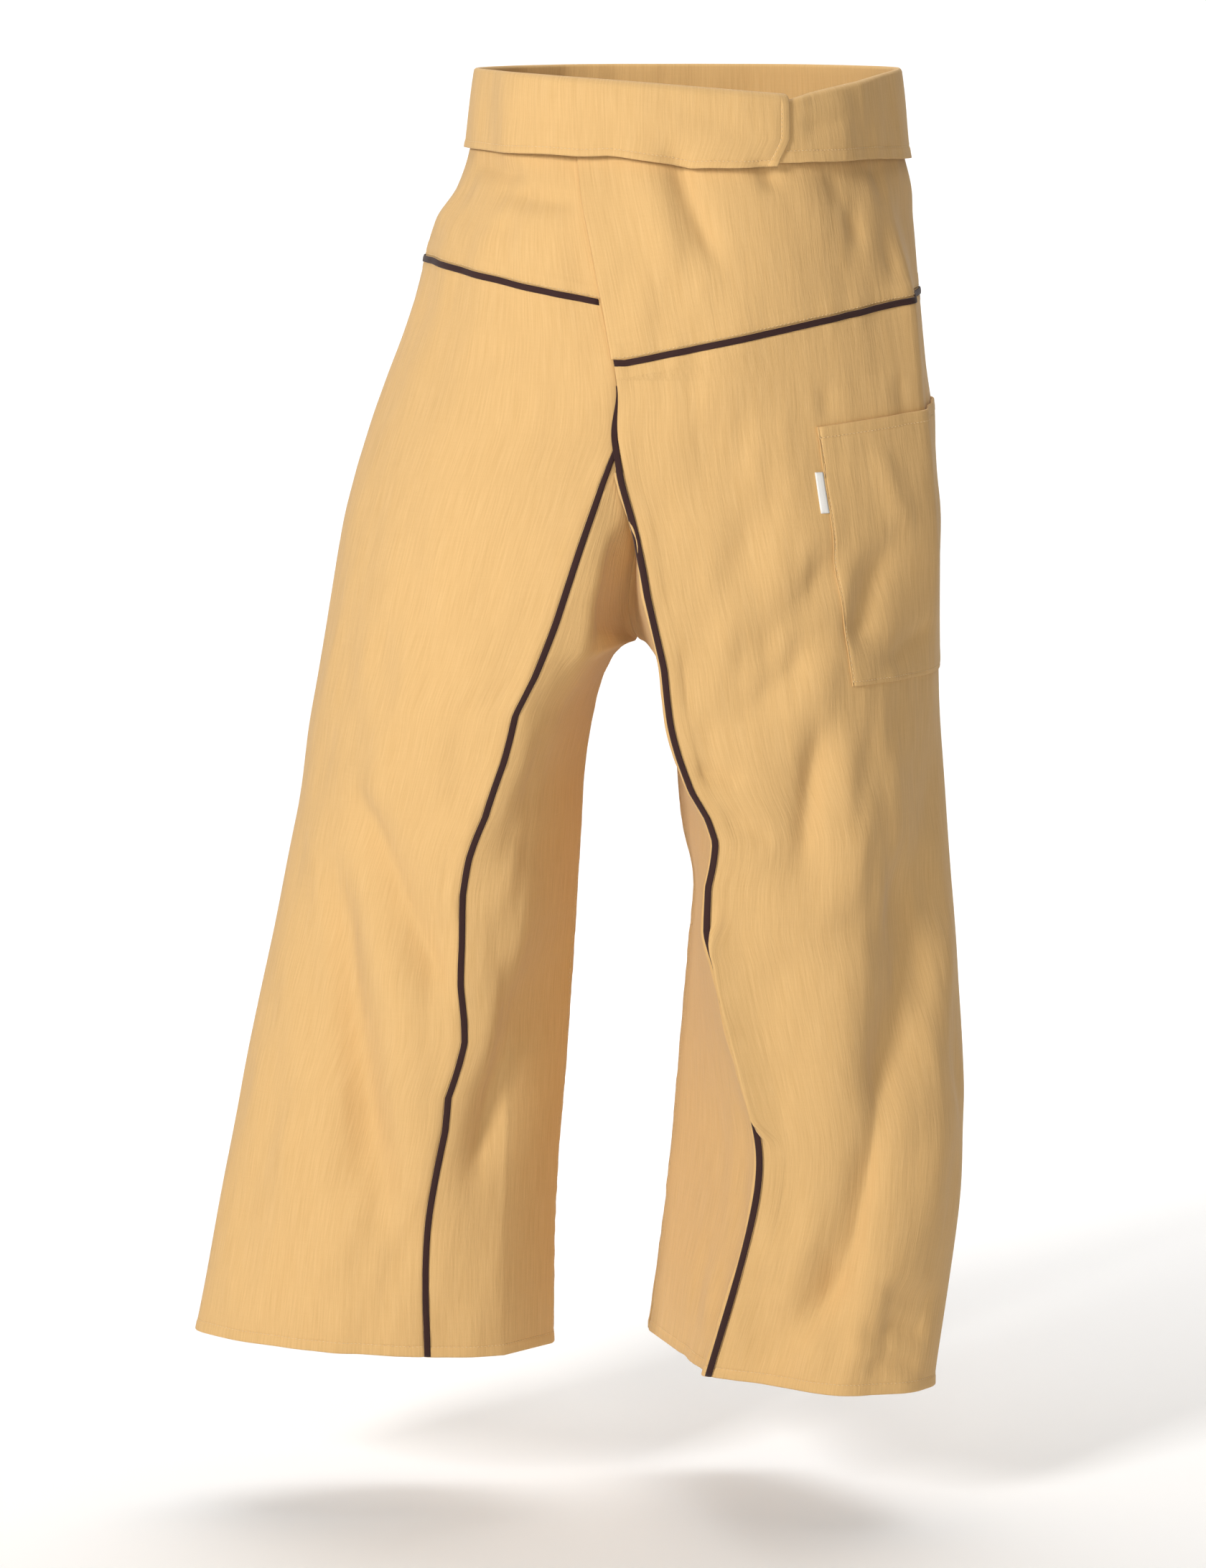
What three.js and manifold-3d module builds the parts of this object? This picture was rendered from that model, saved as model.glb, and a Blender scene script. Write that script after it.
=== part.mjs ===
// Wide wrap trousers in tan cotton with dark flat piping, in the pose they hang in when worn.
// Millimetres, +Z up, the front faces -Y. The origin is the middle of the waist opening.
// "right" and "left" are the wearer's own, so the right leg lies on the -X side.
import * as THREE from 'three';
import Module from 'manifold-3d';

// Cloth and trim
const CLOTH = 1.4; // wall of every panel
const SEAM_GAP = 0.3; // between two pieces at a seam
const PLY = 2.0; // from one ply of the front tuck to the next
const PIPING_WIDTH = 4.8;
const PIPING_THICK = 1.2;
const PIPING_LIFT = CLOTH / 2 + SEAM_GAP + PIPING_THICK / 2;

// Waistband, with the tie under its turned-down flap
const TIE_ROOM = 4.4; // from the waistband's inner wall to its flap
const BAND_SEAM = -52; // height of the seam to the yoke, hidden under the flap
const TIE_HEIGHT = 24;
const TIE_BELOW_TOP = 26; // from the fold along the top to the middle of the tie
const KNOT = { x: 98, spread: 38, lift: 4.4, high: 18, thick: 2 };

// Front tuck: the left side crosses over the right, and the cloth between is folded behind it
const TUCK_WIDTH = 147;
const TUCK_END = -262; // height where the tuck has run out
const CROSSOVER_EASE = 78; // over which the upper ply settles down past the tuck
const TUCK_SHARES = [0.16, 0.32, 0.48, 0.64, 0.8, 0.97];
const TUCK_SEAM = { front: -166, fold: -187.5, edge: -209 }; // the yoke seam along the hidden plies
const YOKE_FACING = 7.5; // the left yoke is turned under by this much at the crossing edge

// Crotch seam and gussets
const CROTCH = { x: -36, y: 10, z: -427 };
const GUSSET_TOPS = { front: { right: -268, left: -290 }, back: { right: -290, left: -290 } };
const BACK_PIPING_TOP = -312;
const CROTCH_ROW = -420; // height at the piped seams of the row that ends at the crotch
const OVERLAP_FADE = [-330, -285]; // the crossing edge settles between these heights
const TRUNK_FADE = [-320, -250]; // the hip section turns into two leg sections here

// Pocket round the outside of the left thigh, and the blank tab at its front edge
const POCKET = { topX: 91.5, bottomX: 118.7, top: -260, rise: 10, bottom: -450, wide: 172, gape: 1.6 };
const TAB = { wide: 7, thick: 0.8, top: -292, bottom: -322 };

// Heights of the rows of points along the legs, and the number of columns round them
const ROWS = [
  -225, -268, -290, -312, -340, -368, -395, CROTCH_ROW, -430, -444, -465, -495, -540, -600, -660, -720, -780, -840, -900,
];
const RIGHT_COLUMNS = 20;
const LEFT_COLUMNS = { toPocket: 7, underPocket: 8, behind: 8 };

/** Turns rows of numbers under column names into objects. */
function table(columns, rows) {
  return rows.map((row) => Object.fromEntries(columns.map((name, k) => [name, row[k]])));
}

// Plan sections of the two sides from the waist to the hem: the outermost point, the front
// seam, the depth of the front between them, and the same at the back.
const SECTION = ['z', 'outX', 'outY', 'frontX', 'frontY', 'frontMid', 'backX', 'backY', 'backMid'];
const SECTIONS = {
  right: table(SECTION, [
    [0, -152, 0, -80, -100, -73, 0, 112, 95],
    [-60, -160, 0, -79, -105, -77, 0, 118, 100],
    [-91, -170, 0, -76, -112, -82, -2, 125, 106],
    [-115, -186, 0, -72, -117, -89, -3, 130, 111],
    [-175, -202, 0, -61, -125, -98, -6, 140, 120],
    [-230, -222, 0, -52, -130, -105, -9, 144, 124],
    [-262, -234, 0, -52, -132, -108, -10, 145, 125],
    [-290, -243, 1.4, -62, -133.6, -106.7, -11.6, 144.4, 123],
    [-300, -246, 2, -66, -134, -106, -16, 144, 122],
    [-340, -256, 4, -80, -134, -104, -32, 142, 118],
    [-425, -271, 5, -108, -131, -100, -78, 136, 111],
    [-480, -280, 5, -129, -127, -97, -105, 130, 105],
    [-565, -294, 4, -158, -119, -90, -128, 121, 97],
    [-650, -311, 2, -167, -110, -82, -145, 111, 87],
    [-740, -331, 0, -173, -99, -74, -158, 100, 78],
    [-860, -354, -2, -196, -86, -66, -175, 87, 68],
    [-980, -377, -4, -197, -74, -58, -190, 74, 60],
  ]),
  left: table(SECTION, [
    [0, 152, 0, -80, -100, -106, 0, 112, 95],
    [-60, 158, 0, -79, -105, -109, 0, 118, 100],
    [-91, 165, 0, -76, -112, -111, -2, 125, 104],
    [-115, 166, 0, -72, -117, -112, -3, 130, 108],
    [-175, 172, 0, -61, -125, -114, -6, 140, 116],
    [-230, 178, 0, -52, -130, -115, -9, 144, 119],
    [-262, 182, 0, -52, -132, -116, -10, 145, 119],
    [-290, 183.5, 1.4, -48, -133.6, -116.1, -8.4, 144.4, 118.5],
    [-300, 184, 2, -46, -134, -116, -4, 144, 118],
    [-340, 186, 4, -35, -135, -115, 14, 142, 114],
    [-425, 188, 5, -21, -133, -113, 52, 136, 108],
    [-480, 190, 4, -14, -130, -112, 72, 131, 102],
    [-565, 196, 0, 13, -124, -108, 92, 124, 94],
    [-650, 203, -5, 21, -117, -107, 98, 117, 86],
    [-740, 208, -14, 43, -112, -109, 96, 112, 76],
    [-800, 209, -24, 56, -108, -111, 90, 110, 69],
    [-860, 205, -34, 49, -99, -113, 84, 108, 62],
    [-980, 187, -58, 19, -68, -110, 62, 110, 40],
  ]),
};
const MID_POINT = 0.6; // share of the way from a seam to the outermost point

// The crotch seam, from the top of the gussets down and in to the crotch
const SEAM_POINT = ['x', 'y', 'z'];
const CROTCH_SEAM = {
  front: table(SEAM_POINT, [
    [-38, -131, -264],
    [-37, -126, -290],
    [-36.5, -115, -320],
    [-39, -100, -345],
    [-42, -81, -370],
    [-44, -58, -393],
    [-42, -34, -411],
    [-39, -12, -422],
    [CROTCH.x, CROTCH.y, CROTCH.z],
  ]),
  back: table(SEAM_POINT, [
    [-10, 144, -290],
    [-13, 138, -322],
    [-18, 126, -350],
    [-23, 108, -376],
    [-28, 84, -398],
    [-32, 58, -414],
    [-35, 33, -424],
    [CROTCH.x, CROTCH.y, CROTCH.z],
  ]),
};

// The inseam of each leg, from the crotch to the hem
const INSEAM = {
  right: table(SEAM_POINT, [
    [CROTCH.x, CROTCH.y, CROTCH.z],
    [-49, 10, -434],
    [-62, 9, -455],
    [-69, 8, -480],
    [-76, 6, -521],
    [-79, 5, -565],
    [-84, 4, -650],
    [-90, 4, -740],
    [-99, 4, -860],
    [-101, 6, -980],
  ]),
  left: table(SEAM_POINT, [
    [CROTCH.x, CROTCH.y, CROTCH.z],
    [-26, 12, -434],
    [-13, 18, -455],
    [-6, 27, -480],
    [-6, 44, -530],
    [-2, 52, -574],
    [7, 58, -620],
    [4, 62, -663],
    [-2, 68, -740],
    [-12, 78, -860],
    [-26, 88, -980],
  ]),
};
const INSEAM_EVEN = -520; // below this height the inseam's rows are level

// Hem planes: height at a point, and its slopes along X and Y
const HEM = {
  right: { x: -373, z: -957.5, alongX: -0.041, alongY: -0.045 },
  left: { x: -25, z: -978, alongX: -0.05, alongY: -0.03 },
};

// The largest folds, as lines of three points seen from one face, with width and depth.
// A trough is negative.
const FOLD = ['face', 'x0', 'z0', 'x1', 'z1', 'x2', 'z2', 'wide', 'deep'];
const FOLDS = table(FOLD, [
  ['front', -254, -558, -250, -689, -226, -880, 30, -9],
  ['front', -236, -520, -199, -597, -160, -680, 26, -8],
  ['front', -86, -591, -114, -710, -168, -880, 28, -8],
  ['front', -71, -482, -94, -543, -142, -594, 28, -5],
  ['front', 187, -567, 166, -660, 152, -800, 30, -9],
  ['front', 152, -760, 136, -868, 80, -955, 28, -11],
  ['front', 104, -468, 78, -559, 84, -617, 26, -5],
  ['front', 176, -896, 162, -930, 135, -955, 26, -7],
  ['front', 141, -110, 155, -250, 179, -404, 24, 5],
  ['front', 142, -347, 132, -389, 118, -431, 24, -4],
  ['back', -60, -300, -120, -380, -150, -470, 28, -6],
  ['back', 50, -310, 95, -400, 110, -520, 28, -7],
  ['back', -240, -480, -235, -640, -215, -850, 32, -9],
  ['back', -150, -560, -165, -720, -200, -900, 30, -8],
  ['back', 120, -540, 100, -690, 60, -880, 30, -8],
  ['back', 165, -640, 150, -780, 130, -940, 28, -7],
]);

const clamp = (value, low, high) => Math.min(high, Math.max(low, value));
const mix = (a, b, share) => a + (b - a) * share;
const point = (x, y, z) => new THREE.Vector3(x, y, z);
const smooth = (low, high, value) => {
  const share = clamp((value - low) / (high - low), 0, 1);
  return share * share * (3 - 2 * share);
};
const range = (count, low, high) => Array.from({ length: count + 1 }, (_, k) => mix(low, high, k / count));
const upTo = (count) => Array.from({ length: count + 1 }, (_, k) => k);
const last = (list) => list[list.length - 1];
const inward = (side) => (side === 'right' ? 1 : -1); // along X, towards the other leg

/** Smooth value of a column at height z, through rows that run downwards. */
function columnAt(rows, name, z) {
  const end = rows.length - 1;
  const height = clamp(z, rows[end].z, rows[0].z);
  let k = 0;
  while (k < end - 1 && height < rows[k + 1].z) k += 1;
  const slope = (i) => {
    const above = rows[Math.max(i - 1, 0)];
    const below = rows[Math.min(i + 1, end)];
    return (below[name] - above[name]) / (below.z - above.z);
  };
  const step = rows[k + 1].z - rows[k].z;
  const t = (height - rows[k].z) / step;
  const lean = t * (1 - t) * step * ((1 - t) * slope(k) - t * slope(k + 1));
  return mix(rows[k][name], rows[k + 1][name], t * t * (3 - 2 * t)) + lean;
}

/** A point of the smooth curve through a, b, c and d, at share t between b and c. */
function curvePoint(a, b, c, d, t) {
  const knot = (p, q) => Math.max(Math.sqrt(p.distanceTo(q)), 1e-3);
  const [ab, bc, cd] = [knot(a, b), knot(b, c), knot(c, d)];
  const along = (axis) => {
    const first = (b[axis] - a[axis]) / ab - (c[axis] - a[axis]) / (ab + bc) + (c[axis] - b[axis]) / bc;
    const second = (c[axis] - b[axis]) / bc - (d[axis] - b[axis]) / (bc + cd) + (d[axis] - c[axis]) / cd;
    const lean = bc * t * (1 - t) * ((1 - t) * first - t * second);
    return mix(b[axis], c[axis], t * t * (3 - 2 * t)) + lean;
  };
  return point(along('x'), along('y'), along('z'));
}

/** A point of the curve through all guides but the first and the last, counted in guides. */
function pathPoint(guides, place) {
  const k = clamp(Math.floor(place), 0, guides.length - 4);
  return curvePoint(guides[k], guides[k + 1], guides[k + 2], guides[k + 3], place - k);
}

/** A path's point moved out sideways in plan by lift(point). Turn is 1 or -1, for the side that is outwards. */
function lifted(guides, place, turn, lift) {
  const STEP = 0.004;
  const here = pathPoint(guides, place);
  const before = pathPoint(guides, Math.max(place - STEP, 0));
  const after = pathPoint(guides, Math.min(place + STEP, guides.length - 3));
  const outward = point(-turn * (after.y - before.y), turn * (after.x - before.x), 0).normalize();
  return here.addScaledVector(outward, lift(here));
}

/** The five plan points that a side's outer cloth runs through at height z. */
function section(side, z) {
  const at = (name) => columnAt(SECTIONS[side], name, z);
  const front = point(at('frontX'), at('frontY'), z);
  const out = point(at('outX'), at('outY'), z);
  const back = point(at('backX'), at('backY'), z);
  const frontMid = point(mix(front.x, out.x, MID_POINT), at('frontMid'), z);
  const backMid = point(mix(back.x, out.x, MID_POINT), at('backMid'), z);
  return { front, frontMid, out, backMid, back };
}

/** Guides of a side's outer curve at height z, from the front seam to the back seam. */
function outerGuides(side, z) {
  const here = section(side, z);
  const other = section(side === 'right' ? 'left' : 'right', z);
  const trunk = smooth(TRUNK_FADE[0], TRUNK_FADE[1], z);
  const past = (seam, mid, turn) => point(mix(seam.x, mid.x, -0.5), seam.y + turn, z);
  return [
    past(here.front, here.frontMid, side === 'right' ? 8 : 1).lerp(other.frontMid, trunk),
    here.front,
    here.frontMid,
    here.out,
    here.backMid,
    here.back,
    past(here.back, here.backMid, -8).lerp(other.backMid, trunk),
  ];
}

/** How far the folds lift the cloth at a point seen from the front or the back. */
function foldLift(face, x, z) {
  const STEPS = 8;
  let lift = 0;
  for (const fold of FOLDS) {
    if (fold.face !== face) continue;
    let nearest = Infinity;
    let place = 0;
    for (let k = 0; k <= STEPS; k += 1) {
      const t = k / STEPS;
      const [a, b, c] = [(1 - t) * (1 - t), 2 * t * (1 - t), t * t];
      const away = Math.hypot(
        x - (a * fold.x0 + b * fold.x1 + c * fold.x2),
        z - (a * fold.z0 + b * fold.z1 + c * fold.z2),
      );
      if (away < nearest) [nearest, place] = [away, t];
    }
    const ends = 0.2 + 0.8 * smooth(0, 0.25, place) * smooth(0, 0.25, 1 - place);
    lift += fold.deep * ends * Math.exp(-((nearest / fold.wide) ** 2));
  }
  return lift;
}

/** Where the hidden fold of the tuck lies along X at height z. */
function tuckReach(z) {
  const left = clamp((z - TUCK_END) / (BAND_SEAM - TUCK_END), 0, 1);
  return columnAt(SECTIONS.left, 'frontX', z) + Math.max(TUCK_WIDTH * left ** 0.6, 5);
}

/** Lift of the crossing left side over the two plies of the tuck. */
function crossoverLift(x, z) {
  const end = tuckReach(z) + 14;
  return 2 * PLY * smooth(OVERLAP_FADE[0], OVERLAP_FADE[1], z) * (1 - smooth(end, end + CROSSOVER_EASE, x));
}

/** A point of a side's outer cloth. Share s runs from the front seam to the back seam. */
function outerPoint(side, s, z, offset = 0) {
  const guides = outerGuides(side, z);
  return lifted(guides, 4 * s, side === 'right' ? 1 : -1, (p) => {
    const turned = clamp(Math.abs(p.y - guides[3].y) / 30, 0, 1);
    return offset + turned * foldLift(s < 0.5 ? 'front' : 'back', p.x, z);
  });
}

/** A point of the left side's upper ply, which crosses over the tuck. */
function crossingPoint(s, z, offset = 0) {
  const under = s < 0.5 ? crossoverLift(outerPoint('left', s, z).x, z) : 0;
  return outerPoint('left', s, z, offset + under);
}

const sidePoint = (side, s, z, offset = 0) => (side === 'left' ? crossingPoint : outerPoint.bind(null, side))(s, z, offset);

/** The share of the left front at which its curve reaches x. */
function shareAtX(x, z) {
  let [low, high] = [0, 0.5];
  for (let k = 0; k < 24; k += 1) {
    const middle = (low + high) / 2;
    if (outerPoint('left', middle, z).x < x) low = middle;
    else high = middle;
  }
  return low;
}

/** The share of the left side that lies a distance along the cloth past share s. */
function sharePast(s, z, distance) {
  const STEP = 0.004;
  let share = s;
  let rest = distance;
  let here = outerPoint('left', share, z);
  while (rest > 0) {
    const next = outerPoint('left', share + STEP, z);
    const stride = here.distanceTo(next);
    share += STEP * Math.min(rest / stride, 1);
    rest -= stride;
    here = next;
  }
  return share;
}

/** The shares of the columns round a side. On the left, two of them follow the pocket's edges. */
function columnShares(side, z) {
  if (side === 'right') return range(RIGHT_COLUMNS, 0, 1);
  const level = clamp(z, POCKET.bottom, POCKET.top);
  const edge = mix(POCKET.topX, POCKET.bottomX, (POCKET.top - level) / (POCKET.top - POCKET.bottom));
  const first = shareAtX(edge, level);
  const second = sharePast(first, level, POCKET.wide);
  return [
    ...range(LEFT_COLUMNS.toPocket, 0, first),
    ...range(LEFT_COLUMNS.underPocket, first, second).slice(1),
    ...range(LEFT_COLUMNS.behind, second, 1).slice(1),
  ];
}

/** Height of the seam between yoke and leg on column k of a side. */
function yokeSeam(side, k) {
  const levels = side === 'right' ? { front: -166, out: -141.5 } : { front: -209, out: -165 };
  const edge = side === 'right' ? { front: -63, out: -196 } : { front: -52, out: 172 };
  const centreBack = { x: -6, z: -185 };
  const s = columnShares(side, -180)[k];
  const { x } = outerPoint(side, s, -180);
  const [from, z] = s < 0.5 ? [edge.front, levels.front] : [centreBack.x, centreBack.z];
  return mix(z, levels.out, clamp((x - from) / (edge.out - from), 0, 1));
}

const hemHeight = (side, p) => {
  const hem = HEM[side];
  return hem.z + hem.alongX * (p.x - hem.x) + hem.alongY * p.y;
};

const transposed = (columns) => columns[0].map((_, j) => columns.map((column) => column[j]));
const columnCount = { right: RIGHT_COLUMNS, left: Object.values(LEFT_COLUMNS).reduce((a, b) => a + b) };

/** Points of an outer leg panel, from the yoke seam to the hem and from the front seam to the back seam. */
function legPanel(side) {
  const at = (k, z) => sidePoint(side, columnShares(side, z)[k], z);
  const columns = upTo(columnCount[side]).map((k) => {
    const rows = [at(k, yokeSeam(side, k)), ...ROWS.map((z) => at(k, z))];
    return [...rows, at(k, hemHeight(side, at(k, -965)))];
  });
  return transposed(columns);
}

/** Points of a ply of the tuck. Share f runs from the crossing edge to the hidden fold; ply 0 is innermost. */
function plyPoint(f, ply, z) {
  return outerPoint('left', f * shareAtX(tuckReach(z), z), z, ply * PLY);
}

const tuckSeam = (f, ply) => mix(ply < 0.75 ? TUCK_SEAM.front : TUCK_SEAM.edge, TUCK_SEAM.fold, f);
const tuckPlies = [
  ...TUCK_SHARES.map((f) => ({ f, ply: 0 })),
  { f: 1, ply: 0.5 },
  ...[...TUCK_SHARES].reverse().map((f) => ({ f, ply: 1 })),
];

/** A point a distance in millimetres from the crossing edge, on ply 1 or 2; ply 1.5 is the fold between them. */
function edgePoint(distance, ply, z) {
  const near = outerPoint('left', 0, z).distanceTo(outerPoint('left', 0.02, z));
  const p = outerPoint('left', (Math.max(distance, 0) * 0.02) / near, z, ply * PLY);
  return p.setX(p.x + Math.min(distance, 0));
}

const yokeRows = (bottom) => range(4, BAND_SEAM, bottom);

/** Points of the right yoke: from the left yoke's facing round the tuck, then to the centre back. */
function yokeRight() {
  const facing = yokeRows(TUCK_SEAM.edge).map((z) => edgePoint(YOKE_FACING, 1, z));
  const tuck = tuckPlies.map(({ f, ply }) => yokeRows(tuckSeam(f, ply)).map((z) => plyPoint(f, ply, z)));
  const body = columnShares('right', 0).map((s, k) => yokeRows(yokeSeam('right', k)).map((z) => outerPoint('right', s, z)));
  return transposed([facing, ...tuck.reverse(), ...body]);
}

/** Points of the left yoke: folded under at the crossing edge and round to the centre back. */
function yokeLeft() {
  const edge = [[YOKE_FACING, 1], [0, 1], [-1, 1.5]].map(([distance, ply]) => (
    yokeRows(TUCK_SEAM.edge).map((z) => edgePoint(distance, ply, z))
  ));
  const body = columnShares('left', 0).map((_, k) => yokeRows(yokeSeam('left', k)).map((z) => crossingPoint(columnShares('left', z)[k], z)));
  return transposed([...edge, ...body]);
}

/** Points of the right leg panel's run into the tuck. It starts inside the panel's own wall, to be joined to it. */
function legTuck(panel) {
  const [seam, below, lower] = panel;
  const bottom = TUCK_END + 8;
  const down = (below[0].z - bottom) / (below[0].z - lower[0].z);
  const buried = [0.5, 0.1].map((across) => [
    seam[0].clone().lerp(seam[1], across).setZ(seam[0].z - 0.5),
    below[0].clone().lerp(below[1], across),
    below[0].clone().lerp(below[1], across).lerp(lower[0].clone().lerp(lower[1], across), down),
  ]);
  const rows = (top) => [top, ROWS[0], bottom];
  const plies = tuckPlies.map(({ f, ply }) => rows(tuckSeam(f, ply)).map((z) => plyPoint(f, ply, z)));
  const ends = [YOKE_FACING, 1].map((distance) => rows(TUCK_SEAM.edge).map((z) => edgePoint(distance, 1, z)));
  return transposed([...buried, ...plies, ...ends]);
}

/** A point on a seam table, from 0 at its first row to 1 at its last. */
function seamPoint(rows, share) {
  const pick = (i) => rows[clamp(i, 0, rows.length - 1)];
  const k = clamp(Math.floor(share * (rows.length - 1)), 0, rows.length - 2);
  const [a, b, c, d] = [k - 1, k, k + 1, k + 2].map((i) => point(pick(i).x, pick(i).y, pick(i).z));
  return curvePoint(a, b, c, d, share * (rows.length - 1) - k);
}

/** Where a gusset's row ends on the crotch seam or the inseam, for its height at the piped seam. */
function gussetEnd(side, face, z) {
  if (z >= CROTCH_ROW) {
    const rows = CROTCH_SEAM[face];
    const share = ((z - rows[0].z) / (CROTCH_ROW - rows[0].z)) ** 1.3;
    const [end, ahead] = [seamPoint(rows, share), seamPoint(rows, share + 0.01)];
    if (z === CROTCH_ROW) end.copy(CROTCH);
    return { end, slope: ahead.sub(seamPoint(rows, share - 0.01)) };
  }
  const down = clamp((z - CROTCH_ROW) / (INSEAM_EVEN - CROTCH_ROW), 0, 1);
  const height = z > INSEAM_EVEN ? mix(CROTCH.z, INSEAM_EVEN, down ** 1.35) : z;
  const end = point(columnAt(INSEAM[side], 'x', height), columnAt(INSEAM[side], 'y', height), height);
  return { end, slope: null };
}

/** Guides of a gusset's row, from the piped seam to the crotch seam or inseam. */
function gussetGuides(side, face, seam, { end, slope }) {
  const VALLEY = 4.5; // radius of the valley along the crotch seam
  const toward = inward(side);
  const depth = face === 'front' ? -1 : 1;
  const atCrotch = end.z < CROTCH.z + 0.5 ? 0.5 : 0;
  const inLeg = slope ? atCrotch : mix(0.5, 1, smooth(-424, -440, end.z));
  const radius = Math.min(VALLEY, 0.3 * Math.abs(end.x - seam.x), 0.8 + 0.35 * Math.abs(end.y - seam.y));
  const outward = slope ? point(0, -depth * slope.z, depth * slope.y).normalize() : point(0, depth, -1).normalize();
  const step = point(-toward * radius, outward.y * radius, outward.z * radius);
  step.lerp(point(-toward * 1.2, depth * 9, 0), inLeg);
  const approach = end.clone().add(step);
  const beyond = end.clone().add(point(-step.x, step.y, step.z).lerp(step.clone().negate(), inLeg));
  if (side === 'left' && face === 'front') {
    const low = smooth(-330, -480, seam.z);
    const edge = point(seam.x - 8, seam.y + mix(1, 4.5, low), seam.z);
    const behind = edge.clone().add(point(0.8, mix(1.1, 9, low), 0));
    const middle = behind.clone().lerp(approach, 0.5);
    middle.y -= 2.2 * (1 - smooth(-285, -330, seam.z));
    return [point(seam.x + 10, seam.y, seam.z), seam, edge, behind, middle, approach, end, beyond];
  }
  const across = (x, y) => point(mix(seam.x, end.x, x), mix(seam.y, end.y, y), mix(seam.z, end.z, x));
  const deeper = 0.14 * smooth(-345, -315, seam.z); // leaves room for the left gusset that crosses in front
  return [across(-0.4, 0.1), seam, across(0.42, 0.1 + deeper), across(0.8, 0.4 + deeper), approach, end, beyond];
}

/** Points of a gusset. Its first column is the leg panel's edge, and its second gives the piping its seat. */
function gusset(side, face, panel) {
  const seams = panel.map((row) => (face === 'front' ? row[0] : last(row)));
  const first = ROWS.indexOf(GUSSET_TOPS[face][side]) + 1;
  const turn = face === 'front' ? -inward(side) : inward(side);
  return seams.slice(first).map((seam, j, rows) => {
    const isHem = j === rows.length - 1;
    const stop = gussetEnd(side, face, isHem ? -965 : seam.z);
    if (isHem) stop.end.z = hemHeight(side, stop.end);
    const guides = gussetGuides(side, face, seam, stop);
    const seat = Math.min((PIPING_WIDTH + 0.5) / guides[2].distanceTo(seam), 0.85);
    const places = side === 'left' && face === 'front'
      ? [0, seat, 1, 2, 2.5, 3, 3.5, 4, 4.6, 5]
      : [0, seat, 1, 1.5, 2, 2.5, 3, 3.6, 4];
    return places.map((place) => {
      if (place === 0) return seam.clone();
      if (place === last(places)) return stop.end.clone();
      const p = lifted(guides, place, turn, (q) => {
        const open = Math.min(place, 1) * clamp(Math.abs(q.y - stop.end.y) / 30, 0, 1);
        return open * foldLift(face, q.x, q.z);
      });
      return isHem ? p.setZ(hemHeight(side, p)) : p;
    });
  });
}

/** Height of the fold along the top of the waistband at a plan point: it dips at the front tuck. */
function bandTop(p) {
  if (p.y > 0) return -4;
  const dip = { x: 66, z: -20 };
  const share = p.x < dip.x ? clamp((p.x + 158) / (dip.x + 158), 0, 1) ** 1.3 : (158 - p.x) / (158 - dip.x);
  return mix(-4, dip.z, clamp(share, 0, 1));
}

/** Height of the flap's lower edge at a plan point. */
function flapEdge(p) {
  const wave = p.y > 0 ? 0 : -5 * Math.exp(-(((p.x - 18) / 34) ** 2));
  return mix(-62.5, -69, smooth(-160, 60, p.x)) + wave;
}

const knotLift = (p) => (p.y < 0 ? KNOT.lift * Math.exp(-(((p.x - KNOT.x) / KNOT.spread) ** 2)) : 0);
const FLAP_STACK = 4 * PLY + TIE_ROOM; // from the innermost ply to the outermost, at the tuck

/**
 * The waistband's columns round the waist. Each gives a point at (height, offset), the offsets of its inner
 * wall and its flap, and the radius of the roll that all its plies share.
 */
function bandColumns() {
  const full = FLAP_STACK / 2;
  const rightColumns = columnShares('right', 0).reverse().map((s) => {
    const foot = outerPoint('right', s, -30);
    const flap = s < 0.5 ? mix(TIE_ROOM, FLAP_STACK, smooth(-152, -80, foot.x)) : TIE_ROOM;
    return { at: (z, offset) => outerPoint('right', s, z, offset), inner: 0, flap, roll: flap / 2, foot };
  });
  const tuck = tuckPlies.map(({ f, ply }) => ({
    at: (z, offset) => plyPoint(f, offset / PLY, z),
    inner: ply * PLY,
    flap: FLAP_STACK - ply * PLY,
    roll: full,
    foot: plyPoint(f, ply, -30),
  }));
  const edge = [[7, 1], [0, 1], [-1, 1.5]].map(([distance, ply]) => ({
    at: (z, offset) => edgePoint(distance, offset / PLY, z),
    inner: ply * PLY,
    flap: FLAP_STACK - ply * PLY,
    roll: full,
    foot: edgePoint(distance, ply, -30),
  }));
  const leftColumns = columnShares('left', 0).slice(0, -1).map((s) => {
    const foot = outerPoint('left', s, -30);
    const under = s < 0.5 ? crossoverLift(foot.x, -30) : 0;
    const room = TIE_ROOM + knotLift(foot);
    const roll = mix(room / 2, full, under / (2 * PLY));
    return { at: (z, offset) => outerPoint('left', s, z, offset), inner: under, flap: under + room, roll, foot };
  });
  return [...rightColumns, ...tuck, ...edge, ...leftColumns];
}

/** Points of the waistband: an inner wall, rolled over along the top and turned down as a flap. */
function waistband(columns) {
  const TURNS = [0, 0, 0.33, 0.67, 1, 1];
  return TURNS.map((turn, j) => columns.map(({ at, inner, flap, roll, foot }) => {
    const radius = (flap - inner) / 2;
    let height = bandTop(foot) - roll;
    if (j === 0) height = BAND_SEAM;
    if (j === TURNS.length - 1) height = flapEdge(foot);
    const p = at(height, (flap + inner) / 2 - radius * Math.cos(turn * Math.PI));
    return p.setZ(height + radius * Math.sin(turn * Math.PI));
  }));
}

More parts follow.
